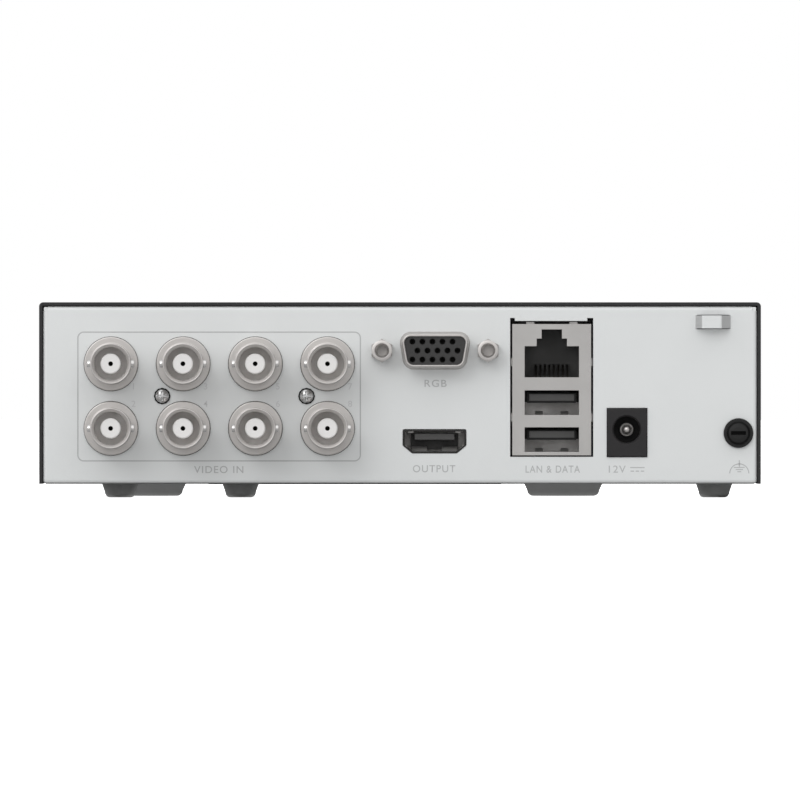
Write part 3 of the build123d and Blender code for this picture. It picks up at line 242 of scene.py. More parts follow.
LOOKS = {
    "panel_grey": dict(
        colour=(0.66, 0.675, 0.675), roughness=0.45, tint=0.01, grain=1600, depth=0.004,
        edge=(0.75, 0.76, 0.76), edge_radius=0.12,
    ),
    "cover_black": dict(
        colour=(0.016, 0.016, 0.017), roughness=0.55, tint=0.12, spread=0.012, mottle=1300,
        smudge=30, grain=1900, depth=0.03, edge=(0.045, 0.045, 0.047), specular=0.35,
    ),
    "bezel_black": dict(
        colour=(0.016, 0.016, 0.017), roughness=0.25, tint=0.12, grain=3000, depth=0.006,
        edge=(0.022, 0.022, 0.024),
    ),
    "lens_smoke": dict(
        colour=(0.03, 0.03, 0.035), roughness=0.08, tint=0.05, spread=0.03, grain=900, depth=0.002,
    ),
    "nickel": dict(
        colour=(0.52, 0.50, 0.485), roughness=0.42, metallic=0.85, tint=0.04, grain=1300,
        depth=0.002, edge=(0.58, 0.56, 0.545),
    ),
    "tin_shield": dict(
        colour=(0.44, 0.43, 0.42), roughness=0.4, metallic=0.85, tint=0.05, grain=1800, depth=0.003,
        edge=(0.62, 0.6, 0.58),
    ),
    "zinc_steel": dict(
        colour=(0.55, 0.55, 0.55), roughness=0.25, metallic=1.0, tint=0.06, grain=1500, depth=0.002,
    ),
    "black_steel": dict(
        colour=(0.009, 0.009, 0.009), roughness=0.35, tint=0.15, depth=0.004,
        edge=(0.05, 0.05, 0.05), specular=0.3,
    ),
    "insulator_white": dict(colour=(0.72, 0.71, 0.70), roughness=0.45, tint=0.015, depth=0.002),
    "moulding_black": dict(
        colour=(0.02, 0.019, 0.019), roughness=0.5, tint=0.12, depth=0.004,
        edge=(0.035, 0.034, 0.034),
    ),
    "moulding_grey": dict(
        colour=(0.05, 0.049, 0.048), roughness=0.5, tint=0.1, depth=0.004, edge=(0.08, 0.08, 0.08),
    ),
    # Painted light: the dark grey rubber is given a lighter colour so the feet stay light in the shade under
    # the case.
    "foot_rubber": dict(
        colour=(0.42, 0.423, 0.42), roughness=0.7, tint=0.06, grain=1500, depth=0.012,
        edge=(0.46, 0.46, 0.46),
    ),
    "board_green": dict(colour=(0.02, 0.13, 0.06), roughness=0.35, tint=0.12, grain=700, depth=0.01),
    "chip_black": dict(colour=(0.025, 0.025, 0.026), roughness=0.55, tint=0.08, depth=0.01),
    "capacitor_sleeve": dict(colour=(0.02, 0.02, 0.05), roughness=0.25, tint=0.1, depth=0.003),
    "sink_aluminium": dict(
        colour=(0.06, 0.06, 0.065), roughness=0.4, metallic=0.7, tint=0.1, stretch=(1, 0.1, 1),
    ),
    "cast_aluminium": dict(
        colour=(0.5, 0.5, 0.51), roughness=0.5, metallic=0.9, tint=0.08, grain=1200, depth=0.03,
    ),
    "disk_steel": dict(colour=(0.62, 0.62, 0.63), roughness=0.3, metallic=1.0, stretch=(1, 0.05, 1)),
    "platter_mirror": dict(
        colour=(0.75, 0.75, 0.76), roughness=0.06, metallic=1.0, tint=0.02, spread=0.02,
        depth=0.0005,
    ),
    "socket_charcoal": dict(colour=(0.065, 0.064, 0.062), roughness=0.5, tint=0.1, depth=0.004),
    # Painted light: the bores are a rougher metal in a lighter colour than the shells, lightening them
    # inside.
    "satin_bore_painted_light": dict(colour=(0.78, 0.755, 0.735), roughness=0.5, metallic=0.6, tint=0.04, depth=0.002),
    "polished_lug": dict(
        colour=(0.62, 0.61, 0.6), roughness=0.2, metallic=1.0, tint=0.03, spread=0.03, depth=0.001,
    ),
    # Painted shade: the contacts are near black, standing in for the shade deep in their sockets.
    "contact_painted_shade": dict(colour=(0.018, 0.016, 0.013), roughness=0.5, metallic=0.3, tint=0.1),
    "rolled_tin": dict(colour=(0.44, 0.43, 0.42), roughness=0.45, metallic=0.7, tint=0.08, depth=0.003),
    "slotted_black": dict(
        colour=(0.024, 0.024, 0.024), roughness=0.5, tint=0.1, depth=0.004, edge=(0.05, 0.05, 0.05),
        specular=0.1,
    ),
    "inlet_black": dict(
        colour=(0.014, 0.013, 0.014), roughness=0.45, tint=0.1, depth=0.004,
        edge=(0.02, 0.02, 0.02), specular=0.3,
    ),
    "gasket_black": dict(
        colour=(0.008, 0.008, 0.008), roughness=0.6, tint=0.15, depth=0.004, specular=0.2,
    ),
    "cable_grey": dict(colour=(0.42, 0.42, 0.43), roughness=0.5, tint=0.05, stretch=(20, 1, 1)),
}
MATERIALS = {name: surface(name, **look) for name, look in LOOKS.items()}


def tone_along(material, axis, start, stop, colour, fade_out=None):
    """Blends a material over to another colour between two levels along an axis.

    With fade_out, it blends back again between those two levels.
    """
    place = material.node_tree.nodes.new("ShaderNodeTexCoord")
    split = material.node_tree.nodes.new("ShaderNodeSeparateXYZ")
    join(material, place.outputs["Object"], split.inputs["Vector"])
    factor = remap(material, split.outputs[axis], 0.0, 1.0, start, stop)
    if fade_out is not None:
        back = remap(material, split.outputs[axis], 1.0, 0.0, *fade_out)
        both = material.node_tree.nodes.new("ShaderNodeMath")
        both.operation = "MULTIPLY"
        join(material, factor, both.inputs[0])
        join(material, back, both.inputs[1])
        factor = both.outputs["Value"]
    target = material.node_tree.nodes["Principled BSDF"].inputs["Base Color"]
    join(material, mix_colour(material, factor, target.links[0].from_socket, colour), target)


def paint_shade_details():
    """Paints shade into the colour of four details, darkening them where shade falls.

    They are the video output's lip, the ground screw's slot, the tray's lower bend and the tie
    bridge's slopes.
    """
    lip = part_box("video_out_shell")[1].y
    # Painted shade: the rolled tin goes dark over the front of the video output's lip.
    tone_along(MATERIALS["rolled_tin"], "Y", lip - 0.12 * MM, lip - 0.04 * MM, (0.03, 0.029, 0.028))
    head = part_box("ground_screw")[1].y
    # Painted shade: the ground screw goes near black deeper than its head face, on the floor of its slot.
    tone_along(MATERIALS["slotted_black"], "Y", head - 0.4 * MM, head - 0.6 * MM, (0.002, 0.002, 0.002))
    low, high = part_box("chassis")
    # Painted shade: panel grey darkens towards the bottom, along the tray's lower bend.
    tone_along(MATERIALS["panel_grey"], "Z", low.z + 0.75 * MM, low.z + 0.45 * MM, (0.2, 0.205, 0.205))
    # Painted shade on the tie bridge's slopes: panel grey proud of the wall but short of the bridge's top
    # face is darker.
    slopes_end = (high.y - 0.3 * MM, high.y - 0.12 * MM)
    slope_painted_shade = (0.4, 0.405, 0.405)
    tone_along(MATERIALS["panel_grey"], "Y", WALL + 0.1 * MM, WALL + 0.3 * MM, slope_painted_shade, slopes_end)


CLOSER_MATCH = {
    "ground_screw": "slotted_black",
    "network_insert": "socket_charcoal",
    "video_out_shell": "rolled_tin",
    "power_inlet_body": "inlet_black",
    # The contacts take a near black colour as painted shade.
    "network_contacts": "contact_painted_shade",
    "data_port_contacts": "contact_painted_shade",
    "video_out_contacts": "contact_painted_shade",
    "monitor_socket_contacts": "contact_painted_shade",
    "video_in_contacts": "contact_painted_shade",
}


def paint_cad():
    """Gives every carried-over CAD node the material of its slot."""
    for row in frame["record"]["subparts"]:
        node = frame["nodes"][row["node"]]
        node.data.materials.clear()
        node.data.materials.append(MATERIALS[CLOSER_MATCH.get(row["node"], row["material_slot"])])


# ================================================================ making pieces
def piece_from(mesh, name, material, body="base"):
    """Links a finished mesh as a piece that rides a body."""
    obj = bpy.data.objects.new(name, mesh)
    bpy.context.scene.collection.objects.link(obj)
    mesh.materials.append(material)
    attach(obj, body)
    return obj


# ---------------------------------------------------------------- printed labels
PRINT_LIFT = 0.015 * MM
CAPITAL_SHARE = 0.69
LETTER_GAP = 1.15
LETTER_WEIGHT = 0.012 * MM
LABEL_HEIGHT = 1.65 * MM
NUMBER_HEIGHT = 1.45 * MM
LABELS = (
    ("VIDEO IN", 42.6, 6.5, 11.6),
    ("RGB", -8.3, 26.8, 5.2),
    ("OUTPUT", -8.0, 6.7, 10.0),
    ("LAN & DATA", -35.9, 6.6, 12.8),
    ("12V", -50.9, 6.6, 4.0),
)
FACE_BACK = Matrix(((-1, 0, 0, 0), (0, 0, 1, 0), (0, 1, 0, 0), (0, 0, 0, 1)))


def text_mesh(text, height, x, z, width=None):
    """Flat lettering on the rear wall, read from behind, centred on a point and stretched to a width."""
    curve = bpy.data.curves.new("text", "FONT")
    curve.body = text
    curve.size = height / CAPITAL_SHARE
    curve.align_x = "CENTER"
    curve.align_y = "CENTER"
    curve.space_character = LETTER_GAP
    curve.offset = LETTER_WEIGHT
    holder = bpy.data.objects.new("text", curve)
    bpy.context.scene.collection.objects.link(holder)
    bpy.context.view_layer.update()
    mesh = bpy.data.meshes.new_from_object(holder)
    stretch = 1.0 if width is None else width / holder.dimensions.x
    bpy.data.objects.remove(holder)
    place = Matrix.Translation((x, WALL + PRINT_LIFT, z))
    mesh.transform(place @ FACE_BACK @ Matrix.Diagonal((stretch, 1, 1, 1)))
    return mesh


def add_mesh(builder, mesh):
    """Adds a mesh to a bmesh and drops the mesh."""
    builder.from_mesh(mesh)
    bpy.data.meshes.remove(mesh)


def add_rectangle(builder, x0, x1, z0, z1):
    """A flat printed bar on the rear wall."""
    corners = [(x0, z0), (x1, z0), (x1, z1), (x0, z1)]
    builder.faces.new([builder.verts.new((x, WALL + PRINT_LIFT, z)) for x, z in corners])


def rounded_loop(x0, x1, z0, z1, radius, steps=8):
    """Points round a rectangle with round corners."""
    left, right, bottom, top = x0 + radius, x1 - radius, z0 + radius, z1 - radius
    points = []
    for quarter, (cx, cz) in enumerate(((right, top), (left, top), (left, bottom), (right, bottom))):
        for step in range(steps + 1):
            angle = math.radians(90 * quarter + 90 * step / steps)
            points.append((cx + radius * math.cos(angle), cz + radius * math.sin(angle)))
    return points


def add_frame_line(builder, x0, x1, z0, z1, radius, line):
    """A thin printed line round a rounded rectangle."""
    outer = rounded_loop(x0, x1, z0, z1, radius)
    inner = rounded_loop(x0 + line, x1 - line, z0 + line, z1 - line, radius - line)
    rings = [[builder.verts.new((x, WALL + PRINT_LIFT, z)) for x, z in loop] for loop in (outer, inner)]
    count = len(outer)
    for index in range(count):
        after = (index + 1) % count
        builder.faces.new((rings[0][index], rings[0][after], rings[1][after], rings[1][index]))


def make_print():
    """All the printing on the rear wall, as one thin layer of ink."""
    builder = bmesh.new()
    for label, x, z, width in LABELS:
        add_mesh(builder, text_mesh(label, LABEL_HEIGHT, x * MM, z * MM, width * MM))
    x = -55.9 * MM
    add_rectangle(builder, x - 1.7 * MM, x + 1.7 * MM, 6.95 * MM, 7.2 * MM)
    for step in (-1, 0, 1):
        add_rectangle(builder, x + (step * 1.2 - 0.4) * MM, x + (step * 1.2 + 0.4) * MM, 6.1 * MM, 6.35 * MM)
    add_frame_line(builder, 9.2 * MM, 76.0 * MM, 8.5 * MM, 39.1 * MM, 1.5 * MM, 0.28 * MM)
    add_ground_symbol(builder, -79.9 * MM, 5.7 * MM)
    mesh = bpy.data.meshes.new("panel_print")
    builder.to_mesh(mesh)
    builder.free()
    piece_from(mesh, "panel_print", make_ink("print_ink", 0.42))


def make_numbers():
    """The socket numbers, in a fainter ink."""
    builder = bmesh.new()
    for index, (low, high) in enumerate(SOCKETS):
        centre = (low + high) / 2
        drop = -5.4 * MM if index % 2 == 0 else 5.7 * MM
        number = text_mesh(str(index + 1), NUMBER_HEIGHT, centre.x - 5.3 * MM, centre.z + drop)
        add_mesh(builder, number)
    mesh = bpy.data.meshes.new("socket_numbers")
    builder.to_mesh(mesh)
    builder.free()
    piece_from(mesh, "socket_numbers", make_ink("number_ink", 0.54))


def add_arc(builder, x, z, radius, line):
    """A printed half circle, open below."""
    steps = 24
    rings = []
    for step in range(steps + 1):
        angle = math.pi * step / steps
        pair = []
        for reach in (radius, radius - line):
            place = (x + reach * math.cos(angle), WALL + PRINT_LIFT, z + reach * math.sin(angle))
            pair.append(builder.verts.new(place))
        rings.append(pair)
    for before, after in zip(rings, rings[1:]):
        builder.faces.new((before[0], after[0], after[1], before[1]))


def add_ground_symbol(builder, x, z):
    """The clean-earth mark: an arc over a stem and three bars."""
    line = 0.22 * MM
    add_arc(builder, x, z, 2.35 * MM, line)
    add_rectangle(builder, x - line / 2, x + line / 2, z + 1.5 * MM, z + 3.1 * MM)
    for drop, half in ((1.5, 1.25), (1.0, 0.85), (0.5, 0.45)):
        add_rectangle(builder, x - half * MM, x + half * MM, z + drop * MM - line, z + drop * MM)


# ---------------------------------------------------------------- turned and lofted details
def loft(builder, rings, cap=False):
    """Joins rings of points into a skin; each ring is a list of points with the same count."""
    loops = [[builder.verts.new(point) for point in ring] for ring in rings]
    for before, after in zip(loops, loops[1:]):
        count = len(before)
        for index in range(count):
            follow = (index + 1) % count
            builder.faces.new((before[index], before[follow], after[follow], after[index]))
    if cap:
        builder.faces.new(loops[-1])


def finish_mesh(builder, name, material, smooth=35):
    """Turns a bmesh into a piece, smooth apart from its sharp edges."""
    bmesh.ops.remove_doubles(builder, verts=builder.verts, dist=0.002 * MM)
    bmesh.ops.recalc_face_normals(builder, faces=builder.faces)
    mesh = bpy.data.meshes.new(name)
    builder.to_mesh(mesh)
    builder.free()
    mesh.shade_smooth()
    mesh.set_sharp_from_angle(angle=math.radians(smooth))
    return piece_from(mesh, name, material)


def circle(x, y, z, radius, steps=64):
    """Points round an axis along Y."""
    turns = [2 * math.pi * step / steps for step in range(steps)]
    return [(x + radius * math.cos(turn), y, z + radius * math.sin(turn)) for turn in turns]


def hexagon_reach(turn, across_flats):
    """How far a hexagon with corners up and down reaches in a direction."""
    sector = math.radians(60)
    return across_flats / 2 / math.cos((turn + sector / 2) % sector - sector / 2)


def jackscrew_rings(x, z, front):
    """Rings from the wall, over the chamfered corners and down the threaded hole of one jackscrew."""
    steps = 96
    turns = [2 * math.pi * step / steps for step in range(steps)]
    rings = []
    for depth in (front - WALL, 1.6 * MM, 1.3 * MM, 1.0 * MM, 0.7 * MM, 0.4 * MM, 0.2 * MM, 0.06 * MM, 0.0):
        limit = JACKSCREW_FACE_R + depth * JACKSCREW_CHAMFER
        if depth == 0.0:
            limit -= 0.08 * MM
        ring = []
        for turn in turns:
            reach = min(hexagon_reach(turn, JACKSCREW_FLATS), limit)
            ring.append((x + reach * math.cos(turn), front - depth, z + reach * math.sin(turn)))
        rings.append(ring)
    rings.append(circle(x, front, z, JACKSCREW_MOUTH_R, steps))
    for step in range(1, 9):
        deep = THREAD_START + step * THREAD_STEP
        radius = JACKSCREW_BORE_R if step % 2 else JACKSCREW_BORE_R - THREAD_DEPTH
        rings.append(circle(x, front - deep, z, radius, steps))
    rings.append(circle(x, front - JACKSCREW_BORE_DEPTH, z, JACKSCREW_BORE_R, steps))
    return rings


def make_jackscrews():
    """The two hexagonal jackscrews, with chamfered corners and a cut thread."""
    low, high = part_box("jackscrews")
    spread = high.x - low.x - JACKSCREW_FLATS
    builder = bmesh.new()
    for side in (-1, 1):
        x = (low.x + high.x) / 2 + side * spread / 2
        loft(builder, jackscrew_rings(x, (low.z + high.z) / 2, high.y), cap=True)
    piece = finish_mesh(builder, "jackscrew_heads", MATERIALS["nickel"], smooth=30)
    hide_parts("jackscrews")


def d_outline(grow):
    """The rounded trapezoid of the monitor socket about its own centre, grown all round."""
    steps = 8
    slant = math.tan(MONITOR_SLANT)
    half_height = MONITOR_HALF_HEIGHT + grow
    radius = MONITOR_CORNER + grow
    side = grow / math.cos(MONITOR_SLANT)
    corners = []
    for x_sign, z_sign in ((1, 1), (-1, 1), (-1, -1), (1, -1)):
        reach = MONITOR_HALF_WIDTH - (MONITOR_HALF_HEIGHT - z_sign * half_height) * slant + side
        corners.append(Vector((x_sign * reach, z_sign * half_height)))
    points = []
    for index, corner in enumerate(corners):
        before = (corners[index - 1] - corner).normalized()
        after = (corners[(index + 1) % 4] - corner).normalized()
        half_angle = before.angle(after) / 2
        centre = corner + (before + after).normalized() * (radius / math.sin(half_angle))
        start = corner + before * (radius / math.tan(half_angle)) - centre
        end = corner + after * (radius / math.tan(half_angle)) - centre
        for step in range(steps + 1):
            points.append(centre + start.slerp(end, step / steps) * radius)
    return points


def make_monitor_skirt():
    """The drawn rim of the monitor socket: a slight draft, a soft root and a rolled lip."""
    low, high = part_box("monitor_socket_insert")
    centre_x = (low.x + high.x) / 2
    centre_z = (low.z + high.z) / 2
    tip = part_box("monitor_socket_shell")[1].y
    rings = []
    for y, grow in (
        (WALL, 0.62),
        (WALL + 0.15 * MM, 0.5),
        (WALL + 0.5 * MM, 0.4),
        (WALL + 1.0 * MM, 0.34),
        (tip - 0.5 * MM, 0.08),
        (tip - 0.2 * MM, 0.04),
        (tip - 0.05 * MM, -0.06),
        (tip + 0.01 * MM, -0.17),
        (tip + 0.01 * MM, -0.3),
        (tip - 0.08 * MM, -0.42),
        (tip - 0.25 * MM, -0.47),
        (tip - 0.46 * MM, -0.48),
    ):
        rings.append([(centre_x + point.x, y, centre_z + point.y) for point in d_outline(grow * MM)])
    builder = bmesh.new()
    loft(builder, rings)
    finish_mesh(builder, "monitor_socket_skirt", MATERIALS["nickel"], smooth=50)


def make_housing_screws():
    """Two domed cross-head screws, each on a dark toothed washer."""
    low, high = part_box("housing_screws")
    radius = (high.z - low.z) / 2
    centre_z = (low.z + high.z) / 2
    domes = bmesh.new()
    washers = bmesh.new()
    for x in (low.x + radius, high.x - radius):
        loft(domes, screw_dome_rings(x, centre_z, high.y), cap=True)
        loft(washers, washer_rings(x, centre_z, radius))
    dome = finish_mesh(domes, "housing_screw_heads", MATERIALS["zinc_steel"], smooth=40)
    finish_mesh(washers, "housing_screw_washers", MATERIALS["gasket_black"])
    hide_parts("housing_screws")


def screw_dome_rings(x, z, top):
    """A dome with a cross pressed into it, as rings that dip where the cross lies."""
    steps = 96
    rings = []
    for share in (1.0, 0.97, 0.9, 0.8, 0.7, 0.62, 0.55, 0.48, 0.4, 0.32, 0.24, 0.16, 0.08, 0.02):
        ring = []
        radius = SCREW_DOME_R * share
        for step in range(steps):
            turn = 2 * math.pi * step / steps
            px, pz = radius * math.cos(turn), radius * math.sin(turn)
            dip = 0.0
            if share < CROSS_REACH:
                across = min(abs(px), abs(pz))
                dip = SCREW_RECESS * max(0.0, min(1.0, (CROSS_HALF_WIDTH - across) / CROSS_SOFT_EDGE))
                dip *= min(1.0, (CROSS_REACH - share) / CROSS_FADE)
            rim = SCREW_RIM if share < 1.0 else 0.0
            height = SCREW_DOME * math.sqrt(max(0.0, 1 - share**2)) + rim
            ring.append((x + px, top - SCREW_DOME - SCREW_RIM + height - dip, z + pz))
        rings.append(ring)
    return [circle(x, WALL, z, SCREW_DOME_R, steps)] + rings


def washer_rings(x, z, radius):
    """A thin toothed ring round the dome."""
    steps = 96
    face = WALL + WASHER_THICK
    rings = []
    for y, reach in (
        (WALL, radius),
        (face, radius - WASHER_DRAFT),
        (face, SCREW_DOME_R - WASHER_OVERLAP),
    ):
        ring = []
        for step in range(steps):
            turn = 2 * math.pi * step / steps
            tooth = WASHER_TOOTH * math.cos(WASHER_TEETH * turn) if reach > SCREW_DOME_R else 0.0
            ring.append((x + (reach + tooth) * math.cos(turn), y, z + (reach + tooth) * math.sin(turn)))
        rings.append(ring)
    return rings


def frame_rings(x0, x1, z0, z1, inset, radius, back, front):
    """A rectangular frame seen from behind the case: outer wall, face and inner wall."""
    outer = rounded_loop(x0, x1, z0, z1, radius, 4)
    inner = rounded_loop(x0 + inset, x1 - inset, z0 + inset, z1 - inset, radius * 0.5, 4)
    order = ((outer, back), (outer, front), (inner, front), (inner, back))
    return [[(x, y, z) for x, z in loop] for loop, y in order]


def make_tongue_frames():
    """The dark moulded step round the tip of each data tongue."""
    builder = bmesh.new()
    for level in ("upper", "lower"):
        low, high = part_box(f"data_port_{level}")
        x = (low.x + high.x) / 2
        base = low.z + 0.1 * MM
        span = (x - TONGUE_HALF_WIDTH, x + TONGUE_HALF_WIDTH, base + TONGUE_SPAN[0], base + TONGUE_SPAN[1])
        back, front = high.y - TONGUE_STEP_BACK, high.y - TONGUE_STEP_FRONT
        loft(builder, frame_rings(*span, TONGUE_STEP, TONGUE_CORNER, back, front))
    finish_mesh(builder, "data_tongue_steps", MATERIALS["gasket_black"])


def lathe(builder, x, z, profile):
    """Turns a profile of radius and Y about an axis along Y."""
    loft(builder, [circle(x, y, z, radius) for radius, y in profile])


def barrel_profile(shoulder, tip):
    """The outside of a bayonet socket, from the panel to the start of its bore."""
    root = WALL + SHOULDER_PROUD
    soft = 0.2 * MM
    return [
        (shoulder, WALL),
        (shoulder, root - soft),
        (shoulder - 0.06 * MM, root - 0.06 * MM),
        (shoulder - soft, root),
        (shoulder - soft - 0.1 * MM, root),
        (BARREL_R + 0.25 * MM, root),
        (BARREL_R + 0.15 * MM, root),
        (BARREL_R + 0.04 * MM, root + 0.04 * MM),
        (BARREL_R, root + 0.15 * MM),
        (BARREL_R, tip - soft),
        (BARREL_R - 0.06 * MM, tip - 0.06 * MM),
        (BARREL_R - soft, tip),
        (BORE_R + MOUTH_WIDTH, tip),
        (BORE_R + MOUTH_WIDTH - 0.06 * MM, tip - 0.04 * MM),
        (BORE_R, tip - MOUTH_DEPTH),
    ]


def add_lug(builder, x, y, z, side):
    """One bayonet lug: a round peg standing out sideways from a barrel."""
    rings = []
    for reach, radius in (
        (LUG_ROOT, LUG_R),
        (LUG_REACH - 0.12 * MM, LUG_R),
        (LUG_REACH - 0.03 * MM, LUG_R - 0.04 * MM),
        (LUG_REACH, LUG_R - 0.13 * MM),
    ):
        turns = [2 * math.pi * step / 32 for step in range(32)]
        ring = [(y + radius * math.cos(turn), z + radius * math.sin(turn)) for turn in turns]
        rings.append([(x + side * reach, ring_y, ring_z) for ring_y, ring_z in ring])
    loft(builder, rings, cap=True)


def make_video_sockets():
    """The eight bayonet sockets: turned shells with a coned mouth, satin bores painted lighter than the
    shells as painted light, and polished lugs.
    """
    bores = bmesh.new()
    lugs = bmesh.new()
    for index, (low, high) in enumerate(SOCKETS):
        x, z = (low.x + high.x) / 2, (low.z + high.z) / 2
        tip = high.y
        barrel = bmesh.new()
        lathe(barrel, x, z, barrel_profile((high.x - low.x) / 2, tip))
        number = index + 1
        name = f"video_in_barrel_{number}"
        piece = finish_mesh(barrel, name, MATERIALS["nickel"], smooth=50)
        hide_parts(f"video_in_shell_{number}")
        floor = tip - BORE_DEPTH
        lathe(bores, x, z, [(BORE_R, tip - MOUTH_DEPTH), (BORE_R, floor), (BORE_FLOOR_R, floor)])
        for side in (-1, 1):
            add_lug(lugs, x, tip - LUG_BACK, z, side)
    # The bores' lighter colour is painted light.
    finish_mesh(bores, "video_in_bores", MATERIALS["satin_bore_painted_light"])
    finish_mesh(lugs, "bayonet_lugs", MATERIALS["polished_lug"], smooth=50)


def make_power_contacts():
    """The round-tipped pin of the power inlet inside its contact sleeve."""
    low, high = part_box("power_inlet_pin")
    x, z = (low.x + high.x) / 2, (low.z + high.z) / 2
    sleeve = low.y + INLET_SLEEVE
    outer, inner = INLET_SLEEVE_R, INLET_SLEEVE_BORE_R
    profile = [(outer, low.y), (outer, sleeve - 0.2 * MM), (outer - 0.06 * MM, sleeve - 0.06 * MM)]
    profile += [(outer - 0.2 * MM, sleeve), (inner + 0.08 * MM, sleeve), (inner, sleeve - 0.1 * MM)]
    profile += [(inner, sleeve - INLET_GAP_DEPTH), (INLET_PIN_R, sleeve - INLET_GAP_DEPTH)]
    for step in range(9):
        turn = math.radians(90) * step / 8
        reach = max(INLET_PIN_R * math.cos(turn), 0.02 * MM)
        profile.append((reach, high.y - INLET_PIN_R * (1 - math.sin(turn))))
    builder = bmesh.new()
    loft(builder, [circle(x, y, z, radius, 48) for radius, y in profile], cap=True)
    piece = finish_mesh(builder, "power_inlet_contacts", MATERIALS["nickel"], smooth=50)
    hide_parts("power_inlet_pin")


def make_foot(node, taper):
    """A rubber foot: a cone with a round lower edge and a hollow below."""
    low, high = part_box(node)
    x, y = (low.x + high.x) / 2, (low.y + high.y) / 2
    radius = (high.x - low.x) / 2
    corner = radius - taper * (1 - FOOT_EDGE / high.z) - FOOT_EDGE
    profile = [(radius, high.z)]
    for step in range(7):
        turn = math.radians(90) * step / 6
        profile.append((corner + FOOT_EDGE * math.cos(turn), FOOT_EDGE * (1 - math.sin(turn))))
    hollow = radius * FOOT_HOLLOW_SHARE
    profile += [(hollow, 0.0), (hollow - 0.1 * MM, FOOT_HOLLOW_DEPTH)]
    builder = bmesh.new()
    turns = [2 * math.pi * step / 96 for step in range(96)]
    rings = [[(x + r * math.cos(t), y + r * math.sin(t), z) for t in turns] for r, z in profile]
    loft(builder, rings, cap=True)
    piece = finish_mesh(builder, f"{node}_pad", MATERIALS["foot_rubber"], smooth=40)
    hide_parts(node)


def make_feet():
    """Three small feet near the rear and two wide ones near the front."""
    for side in ("left", "middle", "right"):
        make_foot(f"rear_foot_{side}", REAR_FOOT_TAPER)
    for side in ("left", "right"):
        make_foot(f"front_foot_{side}", FRONT_FOOT_TAPER)


def make_corner_tabs():
    """The folded tabs that close the notches at the panel's upper corners."""
    low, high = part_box("chassis")
    builder = bmesh.new()
    for side in (-1, 1):
        middle = side * (high.x - TAB_INSET - TAB_SIZE / 2)
        span = (middle - TAB_SIZE / 2, middle + TAB_SIZE / 2)
        outline = rounded_loop(*span, high.z - TAB_INSET - TAB_SIZE, high.z - TAB_INSET, 0.15 * MM, 4)
        back, front = WALL - 1.2 * MM, WALL - 0.15 * MM
        loft(builder, [[(x, y, z) for x, z in outline] for y in (back, front)], cap=True)
    finish_mesh(builder, "corner_tabs", MATERIALS["panel_grey"])


def make_ink(name, tone):
    """A printing ink of one tone."""
    return surface(name, (tone, tone * 1.01, tone * 1.02), 0.55, tint=0.05)


# ================================================================ stage
def pale_floor_material():
    """Near white to the camera, and dim in everything that it lights or is mirrored in."""
    material = bpy.data.materials.new("floor_white")
    material.use_nodes = True
    shader = material.node_tree.nodes["Principled BSDF"]
    shader.inputs["Base Color"].default_value = (0.8, 0.8, 0.8, 1.0)
    shader.inputs["Roughness"].default_value = 0.9
    shader.inputs["Specular IOR Level"].default_value = 0.0
    shader.inputs["Emission Color"].default_value = (1.0, 1.0, 1.0, 1.0)
    shader.inputs["Emission Strength"].default_value = FLOOR_GLOW
    dim = add_node(material, "ShaderNodeBsdfDiffuse", Color=(FLOOR_DIM, FLOOR_DIM, FLOOR_DIM, 1.0))
    rays = material.node_tree.nodes.new("ShaderNodeLightPath")
    choose = material.node_tree.nodes.new("ShaderNodeMixShader")
    join(material, rays.outputs["Is Camera Ray"], choose.inputs["Fac"])
    join(material, dim.outputs["BSDF"], choose.inputs[1])
    join(material, shader.outputs["BSDF"], choose.inputs[2])
    join(material, choose.outputs["Shader"], material.node_tree.nodes["Material Output"].inputs["Surface"])
    return material


def make_floor():
    """A plain pale floor."""
    mesh = bpy.data.meshes.new("floor")
    builder = bmesh.new()
    signs = ((-1, -1), (1, -1), (1, 1), (-1, 1))
    corners = [(x * FLOOR_SIZE, y * FLOOR_SIZE, -FLOOR_DROP) for x, y in signs]
    builder.faces.new([builder.verts.new(corner) for corner in corners])
    builder.to_mesh(mesh)
    builder.free()
    floor = bpy.data.objects.new("floor", mesh)
    bpy.context.scene.collection.objects.link(floor)
    mesh.materials.append(pale_floor_material())


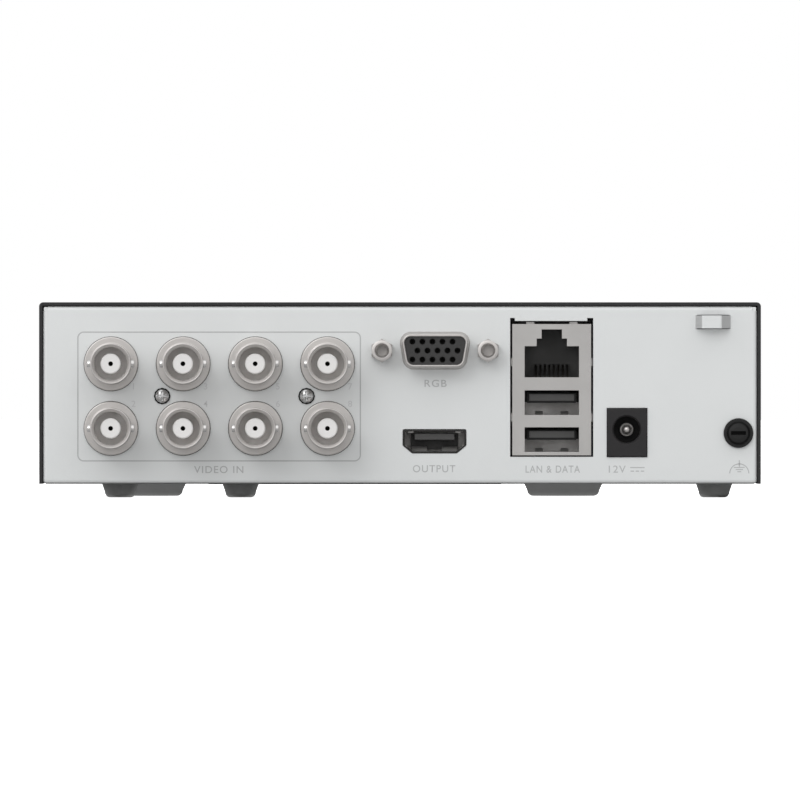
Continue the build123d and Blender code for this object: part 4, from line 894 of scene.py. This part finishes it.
def make_world():
    """A white surround, brighter towards the key side for everything that it lights."""
    world = bpy.data.worlds.new("surround")
    world.use_nodes = True
    tree = world.node_tree
    background = tree.nodes["Background"]
    place = tree.nodes.new("ShaderNodeTexCoord")
    dot = tree.nodes.new("ShaderNodeVectorMath")
    dot.operation = "DOT_PRODUCT"
    dot.inputs[1].default_value = Vector(SKY_TOWARDS).normalized()
    tree.links.new(place.outputs["Generated"], dot.inputs[0])
    ramp = tree.nodes.new("ShaderNodeMapRange")
    ramp.interpolation_type = "SMOOTHSTEP"
    ramp.inputs["From Min"].default_value = SKY_DIM_BELOW
    ramp.inputs["From Max"].default_value = 1.0
    ramp.inputs["To Min"].default_value = SKY_DIM
    ramp.inputs["To Max"].default_value = SKY_BRIGHT
    tree.links.new(dot.outputs["Value"], ramp.inputs["Value"])
    rays = tree.nodes.new("ShaderNodeLightPath")
    choose = tree.nodes.new("ShaderNodeMix")
    tree.links.new(rays.outputs["Is Camera Ray"], choose.inputs["Factor"])
    tree.links.new(ramp.outputs["Result"], choose.inputs[2])
    choose.inputs[3].default_value = 1.0
    tree.links.new(choose.outputs[0], background.inputs["Strength"])
    background.inputs["Color"].default_value = (1.0, 1.0, 1.0, 1.0)
    bpy.context.scene.world = world


def area_light(name, place, size, power, target=(0.0, 0.0, 0.02)):
    """A soft square light aimed at the recorder, not seen itself."""
    light = bpy.data.lights.new(name, "AREA")
    light.size = size
    light.energy = power
    obj = bpy.data.objects.new(name, light)
    obj.location = place
    obj.visible_camera = False
    aim = Vector(target) - Vector(place)
    obj.rotation_mode = "QUATERNION"
    obj.rotation_quaternion = aim.to_track_quat("-Z", "Y")
    bpy.context.scene.collection.objects.link(obj)


def make_camera():
    """A long lens, square on to the rear wall."""
    camera = bpy.data.cameras.new("camera")
    camera.lens = LENS
    camera.sensor_width = SENSOR
    camera.clip_start = 0.5
    camera.clip_end = 60.0
    obj = bpy.data.objects.new("camera", camera)
    obj.location = (0.0, WALL + VIEW_WIDTH * LENS / SENSOR, VIEW_HEIGHT)
    obj.rotation_euler = (math.radians(90), 0, math.radians(180))
    bpy.context.scene.collection.objects.link(obj)
    bpy.context.scene.camera = obj


paint_shade_details()
paint_cad()
make_print()
make_numbers()
make_video_sockets()
make_jackscrews()
make_monitor_skirt()
make_housing_screws()
make_tongue_frames()
make_power_contacts()
make_feet()
make_corner_tabs()
make_floor()
make_world()
area_light("key", KEY_PLACE, KEY_SIZE, KEY_POWER)
area_light("front_fill", FILL_PLACE, FILL_SIZE, FILL_POWER)
area_light("under_glow", (0.0, 0.0, 0.0), UNDER_SIZE, UNDER_POWER, target=(0.0, 0.0, 1.0))
make_camera()
bpy.context.scene.view_settings.view_transform = "Standard"
